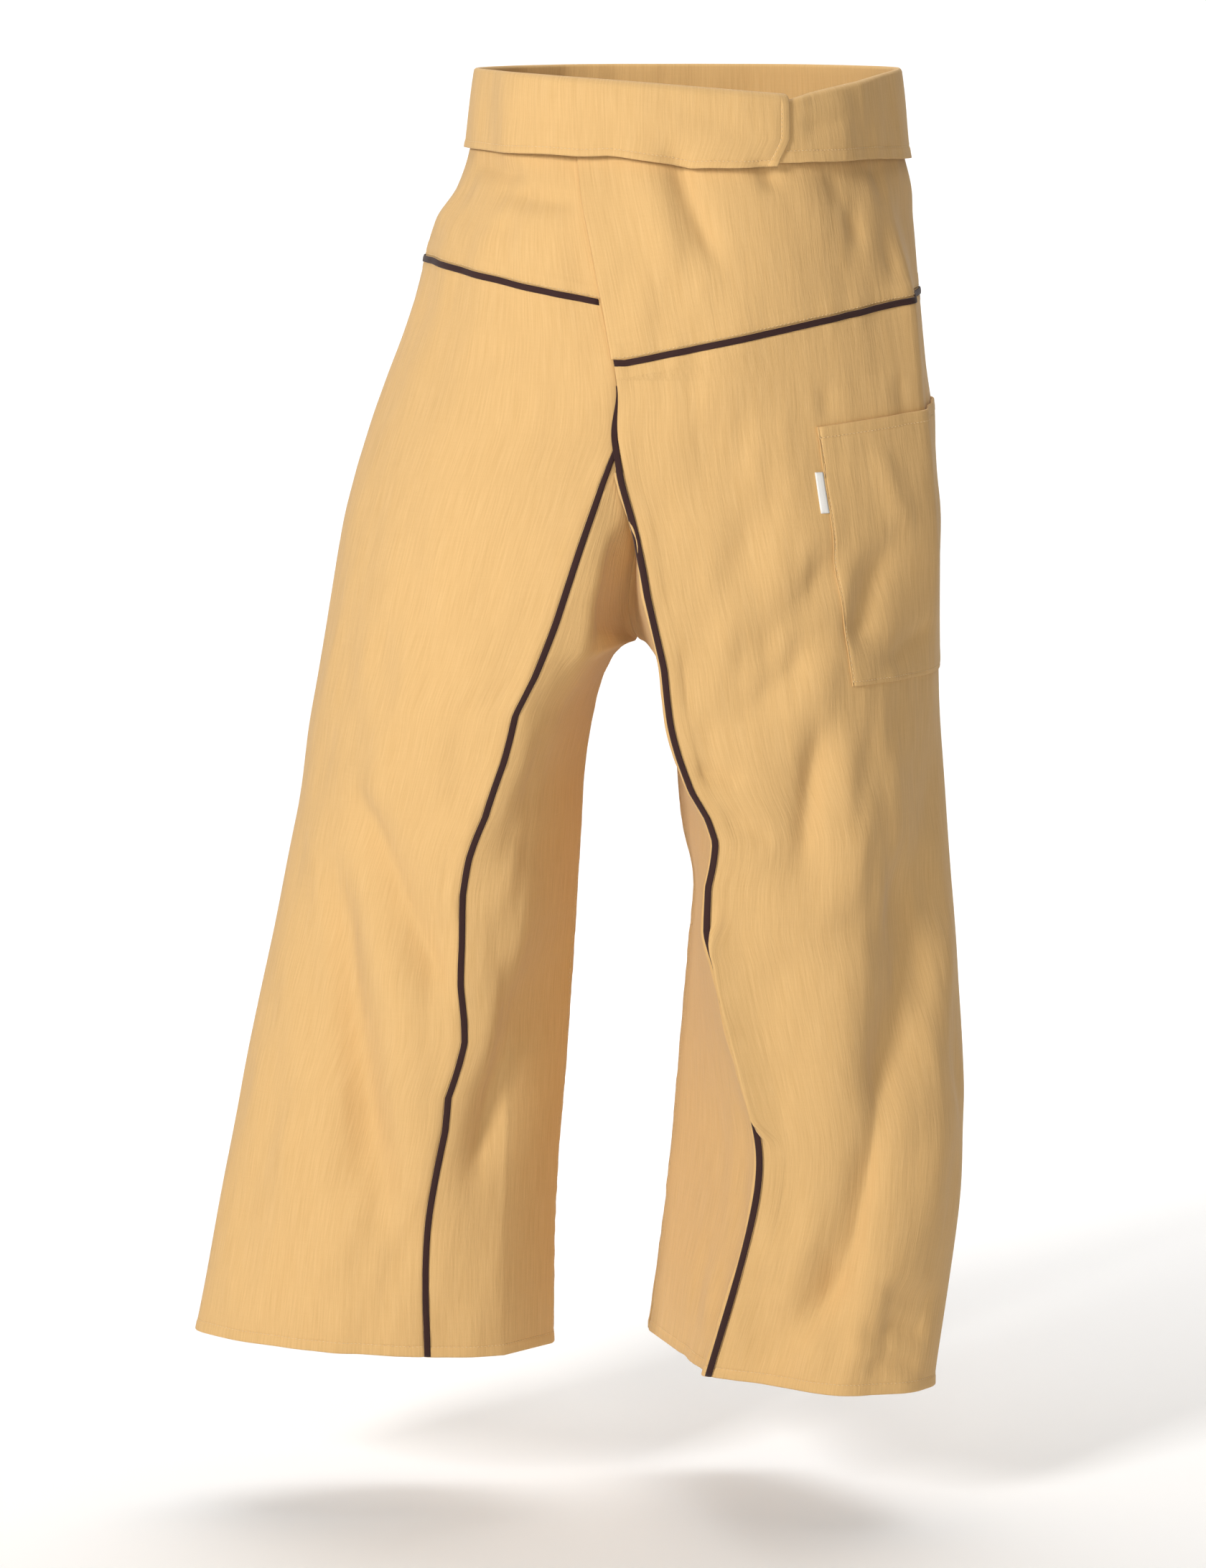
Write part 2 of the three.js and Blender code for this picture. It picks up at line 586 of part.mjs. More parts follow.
/** Points of the tie, between the waistband's inner wall and its flap. */
function waistTie() {
  const ring = [
    ...columnShares('right', 0).reverse().map((s) => ['right', s]),
    ...columnShares('left', 0).slice(1, -1).map((s) => ['left', s]),
  ];
  return [0.5, -0.5].map((way) => ring.map(([side, s]) => {
    const foot = outerPoint(side, s, -30);
    const climb = s < 0.5 && side === 'right' ? 2 * PLY * smooth(0.3, 0.1, s) : 0;
    const under = s < 0.5 && side === 'left' ? crossoverLift(foot.x, -30) : climb;
    return outerPoint(side, s, bandTop(foot) - TIE_BELOW_TOP + way * TIE_HEIGHT, under + TIE_ROOM / 2);
  }));
}

/** Points of the tie's flat knot: a short length of the tie's own points, moved out. */
function tieKnot(tie) {
  const off = (i) => (tie[0][i].y < 0 ? Math.abs(tie[0][i].x - KNOT.x) : Infinity);
  const nearest = tie[0].reduce((best, _, i) => (off(i) < off(best) ? i : best), 0);
  const part = tie.map((row) => row.slice(nearest - 1, nearest + 2));
  const inset = 0.5 - KNOT.high / TIE_HEIGHT / 2;
  const middle = [inset, 1 - inset].map((down) => part[0].map((p, i) => between(p, part[1][i], down)));
  return movedOut(middle, CLOTH / 2 + SEAM_GAP + KNOT.thick / 2);
}

const between = (a, b, share) => a.clone().lerp(b, share);
const atHeight = (a, b, z) => between(a, b, (a.z - z) / (a.z - b.z));

/** Points of the pocket, from the points of the leg panel under it. */
function pocket(panel) {
  const first = LEFT_COLUMNS.toPocket;
  const columns = upTo(LEFT_COLUMNS.underPocket).map((i) => {
    const column = panel.map((row) => row[first + i]);
    const top = POCKET.top + POCKET.rise * Math.min(i / 5, 1.2);
    const inside = column.slice(2).filter((p) => p.z < top - 4 && p.z > POCKET.bottom);
    const above = column[column.indexOf(inside[0]) - 1];
    const below = column[column.indexOf(last(inside)) + 1];
    return [atHeight(above, inside[0], top), ...inside, atHeight(last(inside), below, POCKET.bottom)];
  });
  const moved = movedOut(transposed(columns), CLOTH + SEAM_GAP);
  const [gaped] = movedOut(moved, POCKET.gape);
  const middle = (i) => Math.sin((Math.PI * i) / LEFT_COLUMNS.underPocket);
  return [moved[0].map((p, i) => between(p, gaped[i], middle(i))), ...moved.slice(1)];
}

/** Points of the blank tab beside the pocket's front edge. */
function pocketTab(panel) {
  const first = LEFT_COLUMNS.toPocket;
  const heights = [TAB.top, ...ROWS.filter((z) => z < TAB.top && z > TAB.bottom), TAB.bottom];
  const grid = heights.map((z) => {
    const below = panel.findIndex((row, j) => j > 1 && row[first].z < z);
    const [near, far] = [first, first - 1].map((i) => atHeight(panel[below - 1][i], panel[below][i], z));
    return [TAB.wide + 0.6, 0.6].map((away) => between(near, far, away / near.distanceTo(far)));
  });
  return movedOut(grid, CLOTH / 2 + SEAM_GAP + TAB.thick / 2);
}

/** Points of the piping along a yoke seam, from the points of the leg panel under it. */
function yokePiping([top, below], inset) {
  const drops = [SEAM_GAP, PIPING_WIDTH + SEAM_GAP];
  const grid = drops.map((drop) => top.map((p, i) => between(p, below[i], drop / p.distanceTo(below[i]))));
  grid.forEach((row) => row[0].lerp(row[1], inset / row[0].distanceTo(row[1])));
  return movedOut(grid, PIPING_LIFT);
}

/** Points of the piping down a leg seam, from the gusset's points beside the seam. */
function legPiping(rows) {
  const edges = [0.4, PIPING_WIDTH + 0.4];
  const grid = rows.map(([seam, seat]) => edges.map((across) => between(seam, seat, across / seam.distanceTo(seat))));
  return movedOut(grid, PIPING_LIFT);
}

/** Points of the front piping above the left gusset, where it stands out of the crossing edge. */
function centrePiping() {
  return [TUCK_SEAM.edge - 6, -225, -240, -255, -268].map((z) => {
    const offset = mix(1.5 * PLY, 2 * PLY + PIPING_LIFT, smooth(-245, -290, z));
    const edge = outerPoint('left', 0, z, offset);
    return [0.4, PIPING_WIDTH + 0.4].map((across) => point(edge.x - across, edge.y, z));
  });
}

/** Unit normals at the points of a grid of rows, from the quads round each point. */
function gridNormals(grid, closed) {
  const columns = grid[0].length;
  const normals = grid.map((row) => row.map(() => point(0, 0, 0)));
  const spans = closed ? columns : columns - 1;
  for (let j = 0; j < grid.length - 1; j += 1) {
    for (let i = 0; i < spans; i += 1) {
      const next = (i + 1) % columns;
      const across = grid[j + 1][next].clone().sub(grid[j][i]);
      const normal = across.cross(grid[j + 1][i].clone().sub(grid[j][next])).normalize();
      for (const [row, column] of [[j, i], [j, next], [j + 1, i], [j + 1, next]]) normals[row][column].add(normal);
    }
  }
  normals.forEach((row) => row.forEach((normal) => normal.normalize()));
  return normals;
}

/** The middle of the trunk or of the leg that a point lies on. */
function middleOf(p) {
  if (p.z > CROTCH.z) return point(0, 0, p.z);
  const side = p.x < CROTCH.x ? 'right' : 'left';
  return point((columnAt(INSEAM[side], 'x', p.z) + columnAt(SECTIONS[side], 'outX', p.z)) / 2, 0, p.z);
}

/** A grid moved outwards along its own normals. */
function movedOut(grid, distance) {
  const normals = gridNormals(grid, false);
  const i = Math.floor(grid[0].length / 2);
  const way = Math.sign(normals[0][i].dot(grid[0][i].clone().sub(middleOf(grid[0][i]))));
  return grid.map((row, j) => row.map((p, k) => p.clone().addScaledVector(normals[j][k], way * distance)));
}

/** Gives points that panels share one normal, so that their walls end face to face along a seam. */
function shareNormals(panels) {
  const shared = new Map();
  const key = (p) => `${p.x.toFixed(3)} ${p.y.toFixed(3)} ${p.z.toFixed(3)}`;
  const each = (visit) => panels.forEach(({ grid, normals }) => {
    grid.forEach((row, j) => row.forEach((p, i) => visit(key(p), normals[j][i])));
  });
  each((name, normal) => shared.set(name, (shared.get(name) ?? point(0, 0, 0)).add(normal)));
  each((name, normal) => normal.copy(shared.get(name)).normalize());
}

/** Draws a grid's named edges back from their seams by half the seam gap. */
function drawnBack(grid, edges) {
  const draw = (p, toward) => p.lerp(toward, Math.min(SEAM_GAP / 2 / p.distanceTo(toward), 0.4));
  const rows = grid.map((row) => row.map((p) => p.clone()));
  const foot = rows.length - 1;
  if (edges.includes('top')) rows[0].forEach((p, i) => draw(p, grid[1][i]));
  if (edges.includes('bottom')) rows[foot].forEach((p, i) => draw(p, grid[foot - 1][i]));
  if (edges.includes('first')) rows.forEach((row, j) => draw(row[0], grid[j][1]));
  if (edges.includes('last')) rows.forEach((row, j) => draw(last(row), grid[j][row.length - 2]));
  return rows;
}

/** A closed wall of the given thickness round a grid of middle points. */
function wall(grid, thick, { closed = false, normals = gridNormals(grid, closed) } = {}) {
  const rows = grid.length;
  const columns = grid[0].length;
  const positions = [];
  for (const way of [0.5, -0.5]) {
    grid.forEach((row, j) => row.forEach((p, i) => {
      positions.push(...p.clone().addScaledVector(normals[j][i], way * thick).toArray());
    }));
  }
  const inner = rows * columns;
  const at = (j, i) => j * columns + (i % columns);
  const index = [];
  const quad = (a, b, c, d) => index.push(a, b, c, a, c, d);
  const spans = closed ? columns : columns - 1;
  for (let j = 0; j < rows - 1; j += 1) {
    for (let i = 0; i < spans; i += 1) {
      quad(at(j, i), at(j + 1, i), at(j + 1, i + 1), at(j, i + 1));
      quad(inner + at(j, i), inner + at(j, i + 1), inner + at(j + 1, i + 1), inner + at(j + 1, i));
    }
    if (!closed) {
      quad(at(j, 0), inner + at(j, 0), inner + at(j + 1, 0), at(j + 1, 0));
      quad(at(j, spans), at(j + 1, spans), inner + at(j + 1, spans), inner + at(j, spans));
    }
  }
  for (let i = 0; i < spans; i += 1) {
    quad(at(0, i), at(0, i + 1), inner + at(0, i + 1), inner + at(0, i));
    quad(at(rows - 1, i), inner + at(rows - 1, i), inner + at(rows - 1, i + 1), at(rows - 1, i + 1));
  }
  const geometry = new THREE.BufferGeometry();
  geometry.setAttribute('position', new THREE.Float32BufferAttribute(positions, 3));
  geometry.setIndex(facingOut(positions, index));
  return geometry;
}

/** Turns all triangles round where together they enclose a negative volume. */
function facingOut(positions, index) {
  const corner = (k) => point(...positions.slice(3 * k, 3 * k + 3));
  let volume = 0;
  const turned = [];
  for (let k = 0; k < index.length; k += 3) {
    const [a, b, c] = index.slice(k, k + 3);
    volume += corner(a).dot(corner(b).cross(corner(c)));
    turned.push(a, c, b);
  }
  return volume < 0 ? turned : index;
}

/** Joins two closed geometries into one. */
function joined(wasm, first, second) {
  const solid = (geometry) => new wasm.Manifold(new wasm.Mesh({
    numProp: 3,
    vertProperties: geometry.getAttribute('position').array,
    triVerts: new Uint32Array(geometry.getIndex().array),
  }));
  const mesh = solid(first).add(solid(second)).getMesh();
  const geometry = new THREE.BufferGeometry();
  geometry.setAttribute('position', new THREE.Float32BufferAttribute(mesh.vertProperties, 3));
  geometry.setIndex(Array.from(mesh.triVerts));
  return geometry;
}

const COTTON = { color: 0xe0b878, roughness: 0.9, metalness: 0 };
const BROWN = { color: 0x3a2224, roughness: 0.85, metalness: 0 };
const WHITE = { color: 0xeeeeec, roughness: 0.7, metalness: 0 };
const garment = new THREE.Group();

/** Adds one named piece to the garment. */
function addPiece(name, geometry, finish) {
  geometry.computeVertexNormals();
  const mesh = new THREE.Mesh(geometry, new THREE.MeshStandardMaterial(finish));
  mesh.name = name;
  garment.add(mesh);
}

const wasm = await Module();
wasm.setup();

// Panels that meet at seams
const legs = { right: legPanel('right'), left: legPanel('left') };
const gussets = {};
for (const face of ['front', 'back']) {
  for (const side of ['right', 'left']) gussets[`${face}_${side}`] = gusset(side, face, legs[side]);
}
const panels = {
  yoke_right: { grid: yokeRight(), edges: ['top', 'bottom', 'first', 'last'] },
  yoke_left: { grid: yokeLeft(), edges: ['top', 'bottom', 'first', 'last'] },
  leg_right: { grid: legs.right, edges: ['top', 'first', 'last'] },
  leg_left: { grid: legs.left, edges: ['top', 'first', 'last'] },
};
for (const [name, grid] of Object.entries(gussets)) panels[`gusset_${name}`] = { grid, edges: ['first', 'last'] };
for (const panel of Object.values(panels)) panel.normals = gridNormals(panel.grid, false);
for (const name of ['yoke_left', 'leg_left', 'gusset_front_right', 'gusset_back_left']) {
  panels[name].normals.forEach((row) => row.forEach((normal) => normal.negate()));
}
shareNormals(Object.values(panels));
for (const [name, { grid, edges, normals }] of Object.entries(panels)) {
  let geometry = wall(drawnBack(grid, edges), CLOTH, { normals });
  if (name === 'leg_right') {
    geometry = joined(wasm, geometry, wall(drawnBack(legTuck(grid), ['top', 'last']), CLOTH * 0.9));
  }
  addPiece(name, geometry, COTTON);
}

// Waistband and tie
const tie = waistTie();
addPiece('waistband', wall(drawnBack(waistband(bandColumns()), ['top']), CLOTH, { closed: true }), COTTON);
addPiece('waist_tie', wall(tie, CLOTH, { closed: true }), COTTON);
addPiece('tie_knot', wall(tieKnot(tie), KNOT.thick), COTTON);

// Piping, pocket and tab
for (const side of ['right', 'left']) {
  const inset = side === 'right' ? 2.6 : 0; // the right one ends at the crossing edge
  addPiece(`yoke_piping_${side}`, wall(drawnBack(yokePiping(legs[side], inset), ['last']), PIPING_THICK), BROWN);
  for (const face of ['front', 'back']) {
    const piped = gussets[`${face}_${side}`].filter(([seam]) => face === 'front' || seam.z <= BACK_PIPING_TOP);
    const strip = legPiping(piped);
    const above = side === 'left' && face === 'front' ? centrePiping() : [];
    addPiece(`leg_piping_${face}_${side}`, wall([...above, ...strip], PIPING_THICK), BROWN);
  }
}
addPiece('pocket', wall(pocket(legs.left), CLOTH), COTTON);
addPiece('pocket_tab', wall(pocketTab(legs.left), TAB.thick), WHITE);

export default garment;
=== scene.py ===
"""Wide wrap trousers in tan cotton with dark flat piping, hanging as worn.

The geometry is worked out in millimetres in the row frame (+Z up, the front faces -Y) and is turned
into metres where a mesh is made. "Right" and "left" are the wearer's own, so the right leg is at -X.
"""

import logging  # noqa: E402
import math  # noqa: E402
from dataclasses import dataclass, field  # noqa: E402
from enum import Enum  # noqa: E402
from typing import Callable, Optional, Sequence  # noqa: E402

import bpy  # noqa: E402
import numpy as np  # noqa: E402
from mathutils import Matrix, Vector  # noqa: E402

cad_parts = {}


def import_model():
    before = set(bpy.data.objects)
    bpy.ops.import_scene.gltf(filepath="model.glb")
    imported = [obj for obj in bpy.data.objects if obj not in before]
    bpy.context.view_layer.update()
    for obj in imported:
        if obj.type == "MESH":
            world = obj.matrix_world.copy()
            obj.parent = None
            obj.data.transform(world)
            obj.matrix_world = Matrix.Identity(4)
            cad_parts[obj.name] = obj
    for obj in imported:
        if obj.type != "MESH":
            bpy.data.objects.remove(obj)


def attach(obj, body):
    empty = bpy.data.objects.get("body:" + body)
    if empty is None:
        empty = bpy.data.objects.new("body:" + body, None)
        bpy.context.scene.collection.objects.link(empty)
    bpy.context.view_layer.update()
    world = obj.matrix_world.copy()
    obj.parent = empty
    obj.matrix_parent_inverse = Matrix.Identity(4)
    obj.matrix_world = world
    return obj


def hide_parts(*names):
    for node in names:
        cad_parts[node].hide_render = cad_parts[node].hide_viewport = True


logging.basicConfig(level=logging.INFO, format="%(message)s")
log = logging.getLogger("trousers")
Array = np.ndarray
MM = 0.001


class Side(Enum):
    """A side of the garment, as its wearer names it."""

    RIGHT = "right"
    LEFT = "left"


class Face(Enum):
    """The front or the back of the garment."""

    FRONT = "front"
    BACK = "back"


class Slot(Enum):
    """The material slots of the record."""

    COTTON = "cotton"
    PIPING = "piping"
    LABEL = "label"


# Cloth and trim, in millimetres
CLOTH = 0.9
PLY = 2.0
HEM = 7.5
INSEAM_STITCH = 6.0
PIPING_WIDTH = 4.6
PIPING_THICK = 1.0
TAPE_ACROSS = np.linspace(0.3, PIPING_WIDTH + 0.3, 6)
TAPE_CROWN = CLOTH / 2 + PIPING_THICK / 2 + 0.12 + 0.28 * np.sin(np.linspace(0, np.pi, 6))

# Waistband and tie
TIE_ROOM = 4.4
BAND_SEAM = -52.0
BAND_TOP, BAND_SIDE_X = -4, 158
DIP_X, DIP_Z = 66, -20
TIE_HEIGHT = 24.0
TIE_BELOW_TOP = 26.0
KNOT_X = 98.0
KNOT_SPREAD = 38.0
KNOT_LIFT = 4.4

# Outer flap of the waistband: where it ends, the share of its run that its side hem is at, its lower hem
LAP_X = 67.0
LAP_HEM_SHARE = 0.94
LAP_HEM, BELOW_HEM = 5.2, 8.6
FLAP_ROWS = 23

# Front tuck: the left side crosses over the right
TUCK_WIDTH = 147.0
TUCK_END = -262.0
CROSSOVER_EASE = 78.0
TUCK_FRONT, TUCK_FOLD, TUCK_EDGE = -166.0, -187.5, -209.0
YOKE_FACING = 7.5
FLAP_STACK = 4 * PLY + TIE_ROOM

# Crotch, gussets and the fades between trunk and legs
CROTCH = np.array([-36.0, 10.0, -427.0])
GUSSET_TOPS = {
    (Side.RIGHT, Face.FRONT): -268.0,
    (Side.LEFT, Face.FRONT): -290.0,
    (Side.RIGHT, Face.BACK): -290.0,
    (Side.LEFT, Face.BACK): -290.0,
}
BACK_PIPING_TOP = -312.0
CROTCH_ROW = -420.0
INSEAM_EVEN = -520.0
OVERLAP_FADE = (-330.0, -285.0)
TRUNK_FADE = (-320.0, -250.0)
MID_POINT = 0.6

# Pocket and tab
POCKET_TOP_X, POCKET_BOTTOM_X = 91.5, 118.7
POCKET_TOP, POCKET_BOTTOM = -260.0, -450.0
POCKET_RISE, POCKET_WIDE, POCKET_GAPE = 10.0, 172.0, 1.6
POCKET_HEMS = (("f", 2.2), ("l", 2.2), ("b", 3.4), ("t", HEM))
TAB_TOP, TAB_BOTTOM = -292.0, -322.0
TAB_WIDE, TAB_THICK = 7.2, 0.7

# Heights that the rows of points keep to, and how finely they are divided
KEY_ROWS = (
    -225, -268, -290, -312, -340, -368, -395, -420, -430, -444,
    -465, -495, -540, -600, -660, -720, -780, -840, -900,
)
ROW_STEP = 4.5
SEAM_MARKS = (0.0, 0.9, 2.0, 3.6, 5.6, 8.0, 9.3, 10.6, 13.0)
RIGHT_COLUMNS = 108
LEFT_COLUMNS = (34, 40, 36)


def mix(a, b, share):
    """Value a share of the way from a to b."""
    return a + (b - a) * share


def smooth(low: float, high: float, value):
    """Smooth step from 0 at low to 1 at high."""
    share = np.clip((value - low) / (high - low), 0, 1)
    return share * share * (3 - 2 * share)


def xyz(x, y, z) -> Array:
    """Points from three coordinates that broadcast together."""
    return np.stack(np.broadcast_arrays(x, y, z), -1).astype(float)


def length_of(vectors: Array) -> Array:
    """Lengths of vectors, kept off zero."""
    return np.maximum(np.linalg.norm(vectors, axis=-1, keepdims=True), 1e-9)


@dataclass(frozen=True)
class Profile:
    """Columns of numbers against height, read smoothly between their rows.

    Attributes:
        names: the column names, the first of them the height z.
        rows: one tuple a row, from the highest down.
    """

    names: tuple[str, ...]
    rows: tuple[tuple[float, ...], ...]

    def at(self, name: str, z) -> Array:
        """Value of a column at heights z."""
        column = np.array([row[self.names.index(name)] for row in self.rows], float)
        heights = np.array([row[self.names.index("z")] for row in self.rows], float)
        count = len(heights)
        above = np.maximum(np.arange(count) - 1, 0)
        below = np.minimum(np.arange(count) + 1, count - 1)
        slopes = (column[below] - column[above]) / (heights[below] - heights[above])
        z = np.clip(np.asarray(z, float), heights[-1], heights[0])
        k = np.clip(np.searchsorted(-heights, -z, side="right") - 1, 0, count - 2)
        step = heights[k + 1] - heights[k]
        t = (z - heights[k]) / step
        lean = t * (1 - t) * step * ((1 - t) * slopes[k] - t * slopes[k + 1])
        return mix(column[k], column[k + 1], t * t * (3 - 2 * t)) + lean


SECTION = ("z", "outX", "outY", "frontX", "frontY", "frontMid", "backX", "backY", "backMid")
SECTIONS = {
    Side.RIGHT: Profile(SECTION, (
        (0, -152, 0, -80, -100, -73, 0, 112, 95),
        (-60, -160, 0, -79, -105, -77, 0, 118, 100),
        (-91, -170, 0, -76, -112, -82, -2, 125, 106),
        (-115, -186, 0, -72, -117, -89, -3, 130, 111),
        (-175, -202, 0, -61, -125, -98, -6, 140, 120),
        (-230, -222, 0, -52, -130, -105, -9, 144, 124),
        (-262, -234, 0, -52, -132, -108, -10, 145, 125),
        (-290, -243, 1.4, -62, -133.6, -106.7, -11.6, 144.4, 123),
        (-300, -246, 2, -66, -134, -106, -16, 144, 122),
        (-340, -256, 4, -80, -134, -104, -32, 142, 118),
        (-425, -271, 5, -108, -131, -100, -78, 136, 111),
        (-480, -280, 5, -129, -127, -97, -105, 130, 105),
        (-565, -294, 4, -158, -119, -90, -128, 121, 97),
        (-650, -311, 2, -167, -110, -82, -145, 111, 87),
        (-740, -331, 0, -173, -99, -74, -158, 100, 78),
        (-860, -354, -2, -196, -86, -66, -175, 87, 68),
        (-980, -377, -4, -197, -74, -58, -190, 74, 60),
    )),
    Side.LEFT: Profile(SECTION, (
        (0, 152, 0, -80, -100, -106, 0, 112, 95),
        (-60, 158, 0, -79, -105, -109, 0, 118, 100),
        (-91, 165, 0, -76, -112, -111, -2, 125, 104),
        (-115, 166, 0, -72, -117, -112, -3, 130, 108),
        (-175, 172, 0, -61, -125, -114, -6, 140, 116),
        (-230, 178, 0, -52, -130, -115, -9, 144, 119),
        (-262, 182, 0, -52, -132, -116, -10, 145, 119),
        (-290, 183.5, 1.4, -48, -133.6, -116.1, -8.4, 144.4, 118.5),
        (-300, 184, 2, -46, -134, -116, -4, 144, 118),
        (-340, 186, 4, -35, -135, -115, 14, 142, 114),
        (-425, 188, 5, -21, -133, -113, 52, 136, 108),
        (-480, 190, 4, -14, -130, -112, 72, 131, 102),
        (-565, 196, 0, 13, -124, -108, 92, 124, 94),
        (-650, 203, -5, 21, -117, -107, 98, 117, 86),
        (-740, 208, -14, 43, -112, -109, 96, 112, 76),
        (-800, 209, -24, 56, -108, -111, 90, 110, 69),
        (-860, 205, -34, 49, -99, -113, 84, 108, 62),
        (-980, 187, -58, 19, -68, -110, 62, 110, 40),
    )),
}

# How far the front piping wanders sideways from its even line, against height
WANDER = {
    Side.RIGHT: (
        (-400, 0), (-440, -1.5), (-468, -4.5), (-485, -2), (-502, 0), (-545, 0.8), (-576, -3.5), (-604, -5),
        (-640, -3.5), (-674, -2), (-700, 1.5), (-717, 2.8), (-735, 0), (-759, -4), (-785, -1), (-830, 0),
    ),
    Side.LEFT: (
        (-380, 0), (-435, 4.5), (-463, 4.8), (-500, 4), (-525, 4.2), (-545, 9), (-563, 10), (-580, 5.5),
        (-597, 0.5), (-632, -2.5), (-655, 1), (-700, 0),
    ),
}

CROTCH_SEAM = {
    Face.FRONT: np.array([
        [-38, -131, -264], [-37, -126, -290], [-36.5, -115, -320], [-39, -100, -345], [-42, -81, -370],
        [-44, -58, -393], [-42, -34, -411], [-39, -12, -422], [-36, 10, -427],
    ], float),
    Face.BACK: np.array([
        [-10, 144, -290], [-13, 138, -322], [-18, 126, -350], [-23, 108, -376], [-28, 84, -398],
        [-32, 58, -414], [-35, 33, -424], [-36, 10, -427],
    ], float),
}

POINT = ("x", "y", "z")
INSEAM = {
    Side.RIGHT: Profile(POINT, (
        (-36, 10, -427), (-49, 10, -434), (-62, 9, -455), (-69, 8, -480), (-76, 6, -521),
        (-79, 5, -565), (-84, 4, -650), (-90, 4, -740), (-99, 4, -860), (-101, 6, -980),
    )),
    Side.LEFT: Profile(POINT, (
        (-36, 10, -427), (-26, 12, -434), (-13, 18, -455), (-6, 27, -480), (-6, 44, -530),
        (-2, 52, -574), (7, 58, -620), (4, 62, -663), (-2, 68, -740), (-12, 78, -860), (-26, 88, -980),
    )),
}

HEMS = {Side.RIGHT: (-373, -957.5, -0.041, -0.045), Side.LEFT: (-25, -978, -0.05, -0.03)}


@dataclass(frozen=True)
class Fold:
    """One crease, as a line of three points seen from the front or the back.

    Attributes:
        line: x and z of its start, middle and end.
        wide: how far it reaches to each side.
        deep: how far it lifts the cloth; a trough is negative.
        crisp: 0 for a soft fold, 1 for a crease with a sharp bottom.
        lean: above 0 where the side at the left of a line that runs down is the steeper one.
    """

    face: Face
    line: tuple[float, float, float, float, float, float]
    wide: float
    deep: float
    crisp: float = 0.0
    lean: float = 0.0

    def lift(self, x: Array, z: Array) -> Array:
        """Lift at points seen from this fold's face."""
        x0, z0, x1, z1, x2, z2 = self.line
        steps = 16
        t = np.linspace(0, 1, steps + 1)
        line_x = (1 - t) ** 2 * x0 + 2 * t * (1 - t) * x1 + t * t * x2
        line_z = (1 - t) ** 2 * z0 + 2 * t * (1 - t) * z1 + t * t * z2
        nearest = np.full(x.shape, np.inf)
        place = np.zeros(x.shape)
        beside = np.zeros(x.shape)
        for k in range(steps):
            run_x, run_z = line_x[k + 1] - line_x[k], line_z[k + 1] - line_z[k]
            right, up = x - line_x[k], z - line_z[k]
            share = np.clip((right * run_x + up * run_z) / (run_x * run_x + run_z * run_z), 0, 1)
            away = np.hypot(right - share * run_x, up - share * run_z)
            closer = away < nearest
            nearest = np.where(closer, away, nearest)
            place = np.where(closer, (k + share) / steps, place)
            beside = np.where(closer, (up * run_x - right * run_z) * steps / 2, beside)
        ends = 0.1 + 0.9 * smooth(0, 0.3, place) * smooth(0, 0.3, 1 - place)
        share = nearest / self.wide / (1 + self.lean * np.tanh(beside / (3 * np.hypot(x2 - x0, z2 - z0))))
        soft = np.exp(-share * share)
        sharp = np.exp(-np.sqrt(share * share * 2.6 + 0.02) + 0.14)
        return self.deep * ends * mix(soft, sharp, self.crisp)


def folds(face: Face, rows: Sequence[tuple[float, ...]]) -> list[Fold]:
    """Folds of one face.

    Args:
        rows: six numbers for the line, then wide, deep and, where needed, crisp and lean.
    """
    return [Fold(face, row[:6], *row[6:]) for row in rows]


# Folds that the solids have too
FOLDS = (
    *folds(Face.FRONT, (
        (-254, -558, -250, -689, -226, -880, 30, -9), (-236, -520, -199, -597, -160, -680, 26, -8),
        (-86, -591, -114, -710, -168, -880, 28, -8), (-71, -482, -94, -543, -142, -594, 28, -5),
        (187, -567, 166, -660, 152, -800, 30, -9), (152, -760, 136, -868, 80, -955, 28, -11),
        (104, -468, 78, -559, 84, -617, 26, -5), (176, -896, 162, -930, 135, -955, 26, -7),
        (141, -110, 155, -250, 179, -404, 24, 5), (142, -347, 132, -389, 118, -431, 24, -4),
    )),
    *folds(Face.BACK, (
        (-60, -300, -120, -380, -150, -470, 28, -6), (50, -310, 95, -400, 110, -520, 28, -7),
        (-240, -480, -235, -640, -215, -850, 32, -9), (-150, -560, -165, -720, -200, -900, 30, -8),
        (120, -540, 100, -690, 60, -880, 30, -8), (165, -640, 150, -780, 130, -940, 28, -7),
    )),
)

